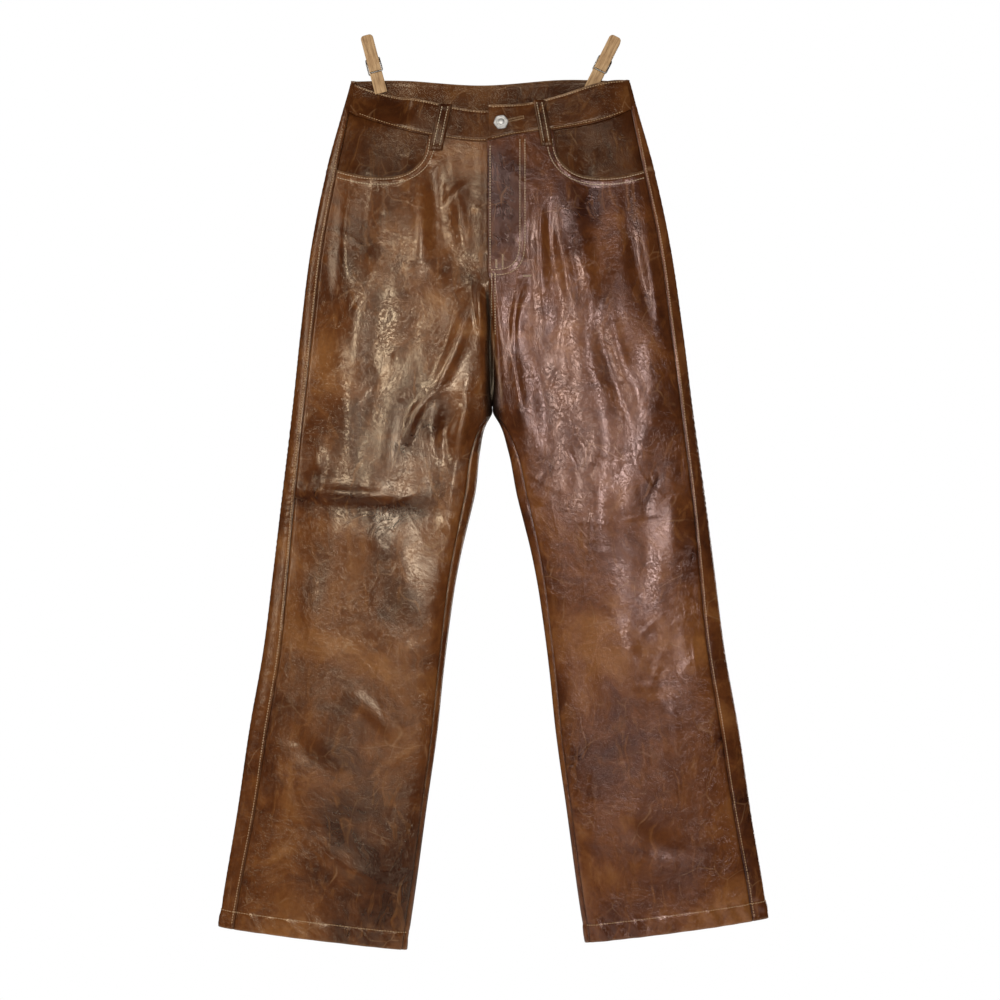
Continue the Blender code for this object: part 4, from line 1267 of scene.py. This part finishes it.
def leather(name, shift, tint=CREAM, shade=1.0, gloss=0.72):
    """Glossy faux leather; shift moves its pattern, and tint colours its shine. Shade scales its colours
    down: the waistbands, facings and belt loops take darker copies of the panels' leather, a painted shade.
    """
    t = Tree(name)
    where = t.add("Mapping", Vector=t.coordinates(), Location=shift).outputs[0]
    bend = t.add("TexNoise", Vector=where, Scale=7.0, Detail=3.0).outputs["Color"]
    bend = t.add("VectorMath", {"operation": "SCALE"}, Vector=bend, Scale=0.10).outputs[0]
    bent = t.add("VectorMath", {"operation": "ADD"})
    t.put(bent.inputs[0], where)
    t.put(bent.inputs[1], bend)
    bent = bent.outputs[0]
    t.shade(Base_Color=leather_colour(t, where, bent, shade))
    rough = t.math("MULTIPLY_ADD", t.noise(where, 38.0, 4.0), 0.13, 0.115)
    t.shade(Roughness=t.math("MULTIPLY_ADD", t.stored("painted_shade"), 0.12, rough))
    bump = leather_relief(t, where, bent)
    t.shade(Normal=bump, Coat_Normal=bump, Coat_Weight=0.04, Coat_Roughness=0.21)
    t.shade(Specular_IOR_Level=gloss, Coat_Tint=tint, Specular_Tint=tint)
    return t.material


def thread_finish(name, colour):
    t = Tree(name)
    twist = t.noise(t.coordinates(), 900.0, 2.0)
    t.shade(Base_Color=t.ramp(twist, (0.3, scaled(colour, 0.6)), (0.65, colour)))
    t.shade(Roughness=0.75, Sheen_Weight=0.2, Normal=t.bump(twist, 0.5, 0.0002))
    return t.material


def metal_finish(name, colour, roughness, scratch_scale, metallic=1.0):
    t = Tree(name)
    wear = t.noise(t.coordinates(), scratch_scale, 5.0)
    t.shade(Base_Color=t.ramp(wear, (0.35, scaled(colour, 0.72)), (0.6, colour)))
    t.shade(Roughness=t.math("MULTIPLY_ADD", wear, 0.2, roughness - 0.1))
    t.shade(Metallic=metallic, Normal=t.bump(wear, 0.15, 0.0002))
    return t.material


def wood_finish(name):
    """Pale beech: growth lines along the arm, fine pores and darker worn patches."""
    t = Tree(name)
    where = t.coordinates()
    long = t.add("Mapping", Vector=where, Scale=(1.0, 1.0, 0.09)).outputs[0]
    lines = t.noise(long, 420.0, 6.0, Roughness=0.65, Distortion=0.6)
    wood = t.ramp(lines, *zip((0.32, 0.5, 0.68), WOOD_LINES))
    dirt = t.ramp(t.noise(where, 70.0, 4.0), (0.3, WOOD_DIRT), (0.6, WHITE))
    t.shade(Base_Color=t.mix("MULTIPLY", 0.5, wood, dirt))
    t.shade(Roughness=t.math("MULTIPLY_ADD", lines, 0.2, 0.5), Normal=t.bump(lines, 0.35, 0.0004))
    return t.material


# -------- stage


def add_light(light):
    """A softbox; mirrored says whether the gloss of the leather reflects it."""
    lamp = bpy.data.lights.new(light["name"], "AREA")
    lamp.shape = "RECTANGLE"
    lamp.size, lamp.size_y = light["size"]
    lamp.energy = light["watts"]
    lamp.color = light["colour"]
    made = add_object(light["name"], lamp)
    made.location = light["place"]
    ahead = Vector(light["towards"]) - Vector(light["place"])
    made.rotation_euler = ahead.to_track_quat("-Z", "Y").to_euler()
    made.visible_glossy = light["mirrored"]
    made.visible_camera = False


def add_world():
    """White to the camera, soft grey as light on the cloth, and dark brown where the gloss mirrors it."""
    world = bpy.data.worlds.new("studio")
    bpy.context.scene.world = world
    world.use_nodes = True
    world.cycles.sampling_method = "NONE"  # so that gloss meets only the mirrored brown
    nodes, links = world.node_tree.nodes, world.node_tree.links
    path = nodes.new("ShaderNodeLightPath")
    seen, mirrored, lit = (nodes.new("ShaderNodeBackground") for _ in range(3))
    for background, colour in ((seen, WHITE), (mirrored, WORLD_MIRRORED), (lit, WORLD_LIT)):
        background.inputs[0].default_value = (*colour, 1)
    soft, whole = nodes.new("ShaderNodeMixShader"), nodes.new("ShaderNodeMixShader")
    rows = ((soft, "Is Glossy Ray", lit, mirrored), (whole, "Is Camera Ray", soft, seen))
    for mixed, ray, otherwise, then in rows:
        links.new(path.outputs[ray], mixed.inputs[0])
        links.new(otherwise.outputs[0], mixed.inputs[1])
        links.new(then.outputs[0], mixed.inputs[2])
    links.new(whole.outputs[0], nodes["World Output"].inputs[0])


def add_floor():
    """A pale floor that ends short of where the camera would see it behind the hems."""
    t = Tree("pale_floor")
    t.shade(Base_Color=FLOOR_WHITE, Roughness=0.8)
    plan = ((-1, FLOOR_NEAR), (1, FLOOR_NEAR), (1, FLOOR_FAR), (-1, FLOOR_FAR))
    corners = [(side * FLOOR_HALF_WIDTH, y, FLOOR_HEIGHT) for side, y in plan]
    add_mesh("floor", corners, [(0, 1, 2, 3)], t.material)


def add_camera():
    camera = bpy.data.cameras.new("camera")
    camera.lens = CAMERA_LENS
    camera.sensor_width = CAMERA_SENSOR
    made = add_object("camera", camera)
    made.location = CAMERA_PLACE
    made.rotation_euler = (math.pi / 2, 0, 0)
    bpy.context.scene.camera = made


def add_stage():
    add_world()
    add_floor()
    for row in LIGHTS:
        add_light(named(LIGHT_COLUMNS, row))
    add_camera()
    bpy.context.scene.view_settings.view_transform = "Standard"


# -------- the trousers


def finish_piece(made, slot, *nodes):
    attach(made, "root")
    if nodes:
        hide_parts(*nodes)
    return made


def build_half(side, name):
    """Front, back, half waistband, pocket facing and front belt loop of one side, by node."""
    shift = 3.1 if side == LEFT else 7.7
    tint = MAUVE if side == LEFT else CREAM
    front = leather(f"leather_front_{name}", (shift, 0.4, 1.7), tint)
    back = leather(f"leather_back_{name}", (shift + 2.3, 1.4, 0.2), tint)
    # darker copies of the panels' leather for the band and the facing: a painted shade
    band = leather(f"leather_band_{name}", (shift, 5.4, 2.2), shade=0.75, gloss=0.42)
    facing = leather(f"leather_facing_{name}", (shift + 4, 2.2, 0.9), shade=0.7, gloss=0.42)
    return {
        f"front_{name}": add_leg_panel(f"front_{name}_cloth", FRONT, side, front),
        f"back_{name}": add_leg_panel(f"back_{name}_cloth", BACK, side, back),
        f"band_front_{name}": add_band(f"band_front_{name}_cloth", FRONT, side, band),
        f"pocket_facing_{name}": add_pocket_facing(f"pocket_facing_{name}_cloth", side, facing),
        f"loop_front_{name}": add_loop(f"loop_front_{name}_cloth", FRONT, FRONT_LOOPS[side], band),
    }


def build_cloth():
    cloth = build_half(LEFT, "left") | build_half(RIGHT, "right")
    # a darker copy of the leather for the back band: a painted shade
    band = leather("leather_band_back", (1.3, 8.2, 0.6), shade=0.7, gloss=0.36)
    cloth["band_back"] = add_band("band_back_cloth", BACK, LEFT, band)
    fly = leather("leather_fly_facing", (6.3, 0.2, 4.6))
    cloth["fly_facing"] = add_fly_facing("fly_facing_cloth", fly)
    for name, x in BACK_LOOPS.items():
        cloth[f"loop_back_{name}"] = add_loop(f"loop_back_{name}_cloth", BACK, back_loop(x), band)
    for node, made in cloth.items():
        finish_piece(made, "leather", node)
    return cloth


def build_stitching():
    tan = thread_finish("thread_tan", TAN_THREAD)
    cream = thread_finish("thread_cream", CREAM_THREAD)
    plain, bright = [], fly_lines()
    for side in (LEFT, RIGHT):
        plain += [outseam_line(side)] + hem_lines(side) + front_band_lines(side)
        bright += pocket_lines(side) + loop_lines(FRONT, FRONT_LOOPS[side])
    plain += back_centre_lines() + back_band_lines()
    for x in BACK_LOOPS.values():
        bright += loop_lines(BACK, back_loop(x))
    pieces = [add_stitches("stitches_tan", plain, tan), add_stitches("stitches_cream", bright, cream)]
    for name, row in TACKS.items():
        pieces.append(add_bar_tack(name, named(TACK_COLUMNS, row), cream))
    pieces.append(add_buttonhole("buttonhole", tan))
    for made in pieces:
        finish_piece(made, "leather")
    return pieces


def build_hardware():
    silver = metal_finish("silver", SILVER, 0.42, 300.0, 0.7)
    finish_piece(add_button("button_shown", silver), "button_metal", "button")
    wood = wood_finish("beech")
    steel = metal_finish("spring_wire", STEEL, 0.34, 500.0)
    for name, row in PEGS.items():
        peg = named(PEG_COLUMNS, row)
        for facing, part in ((FRONT, "front"), (BACK, "back")):
            made = add_peg_arm(f"peg_{name}_{part}_arm", peg, facing, wood)
            finish_piece(made, "peg_wood", f"peg_{name}_{part}")
        spring = tube_along(f"peg_{name}_wire", spring_route(), WIRE_RADIUS, steel, 10)
        spring.matrix_world = peg_matrix(peg)
        finish_piece(spring, "spring_steel", f"peg_{name}_spring")


def main():
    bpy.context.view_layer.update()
    cloth = build_cloth()
    stitching = build_stitching()
    build_hardware()
    add_stage()


main()
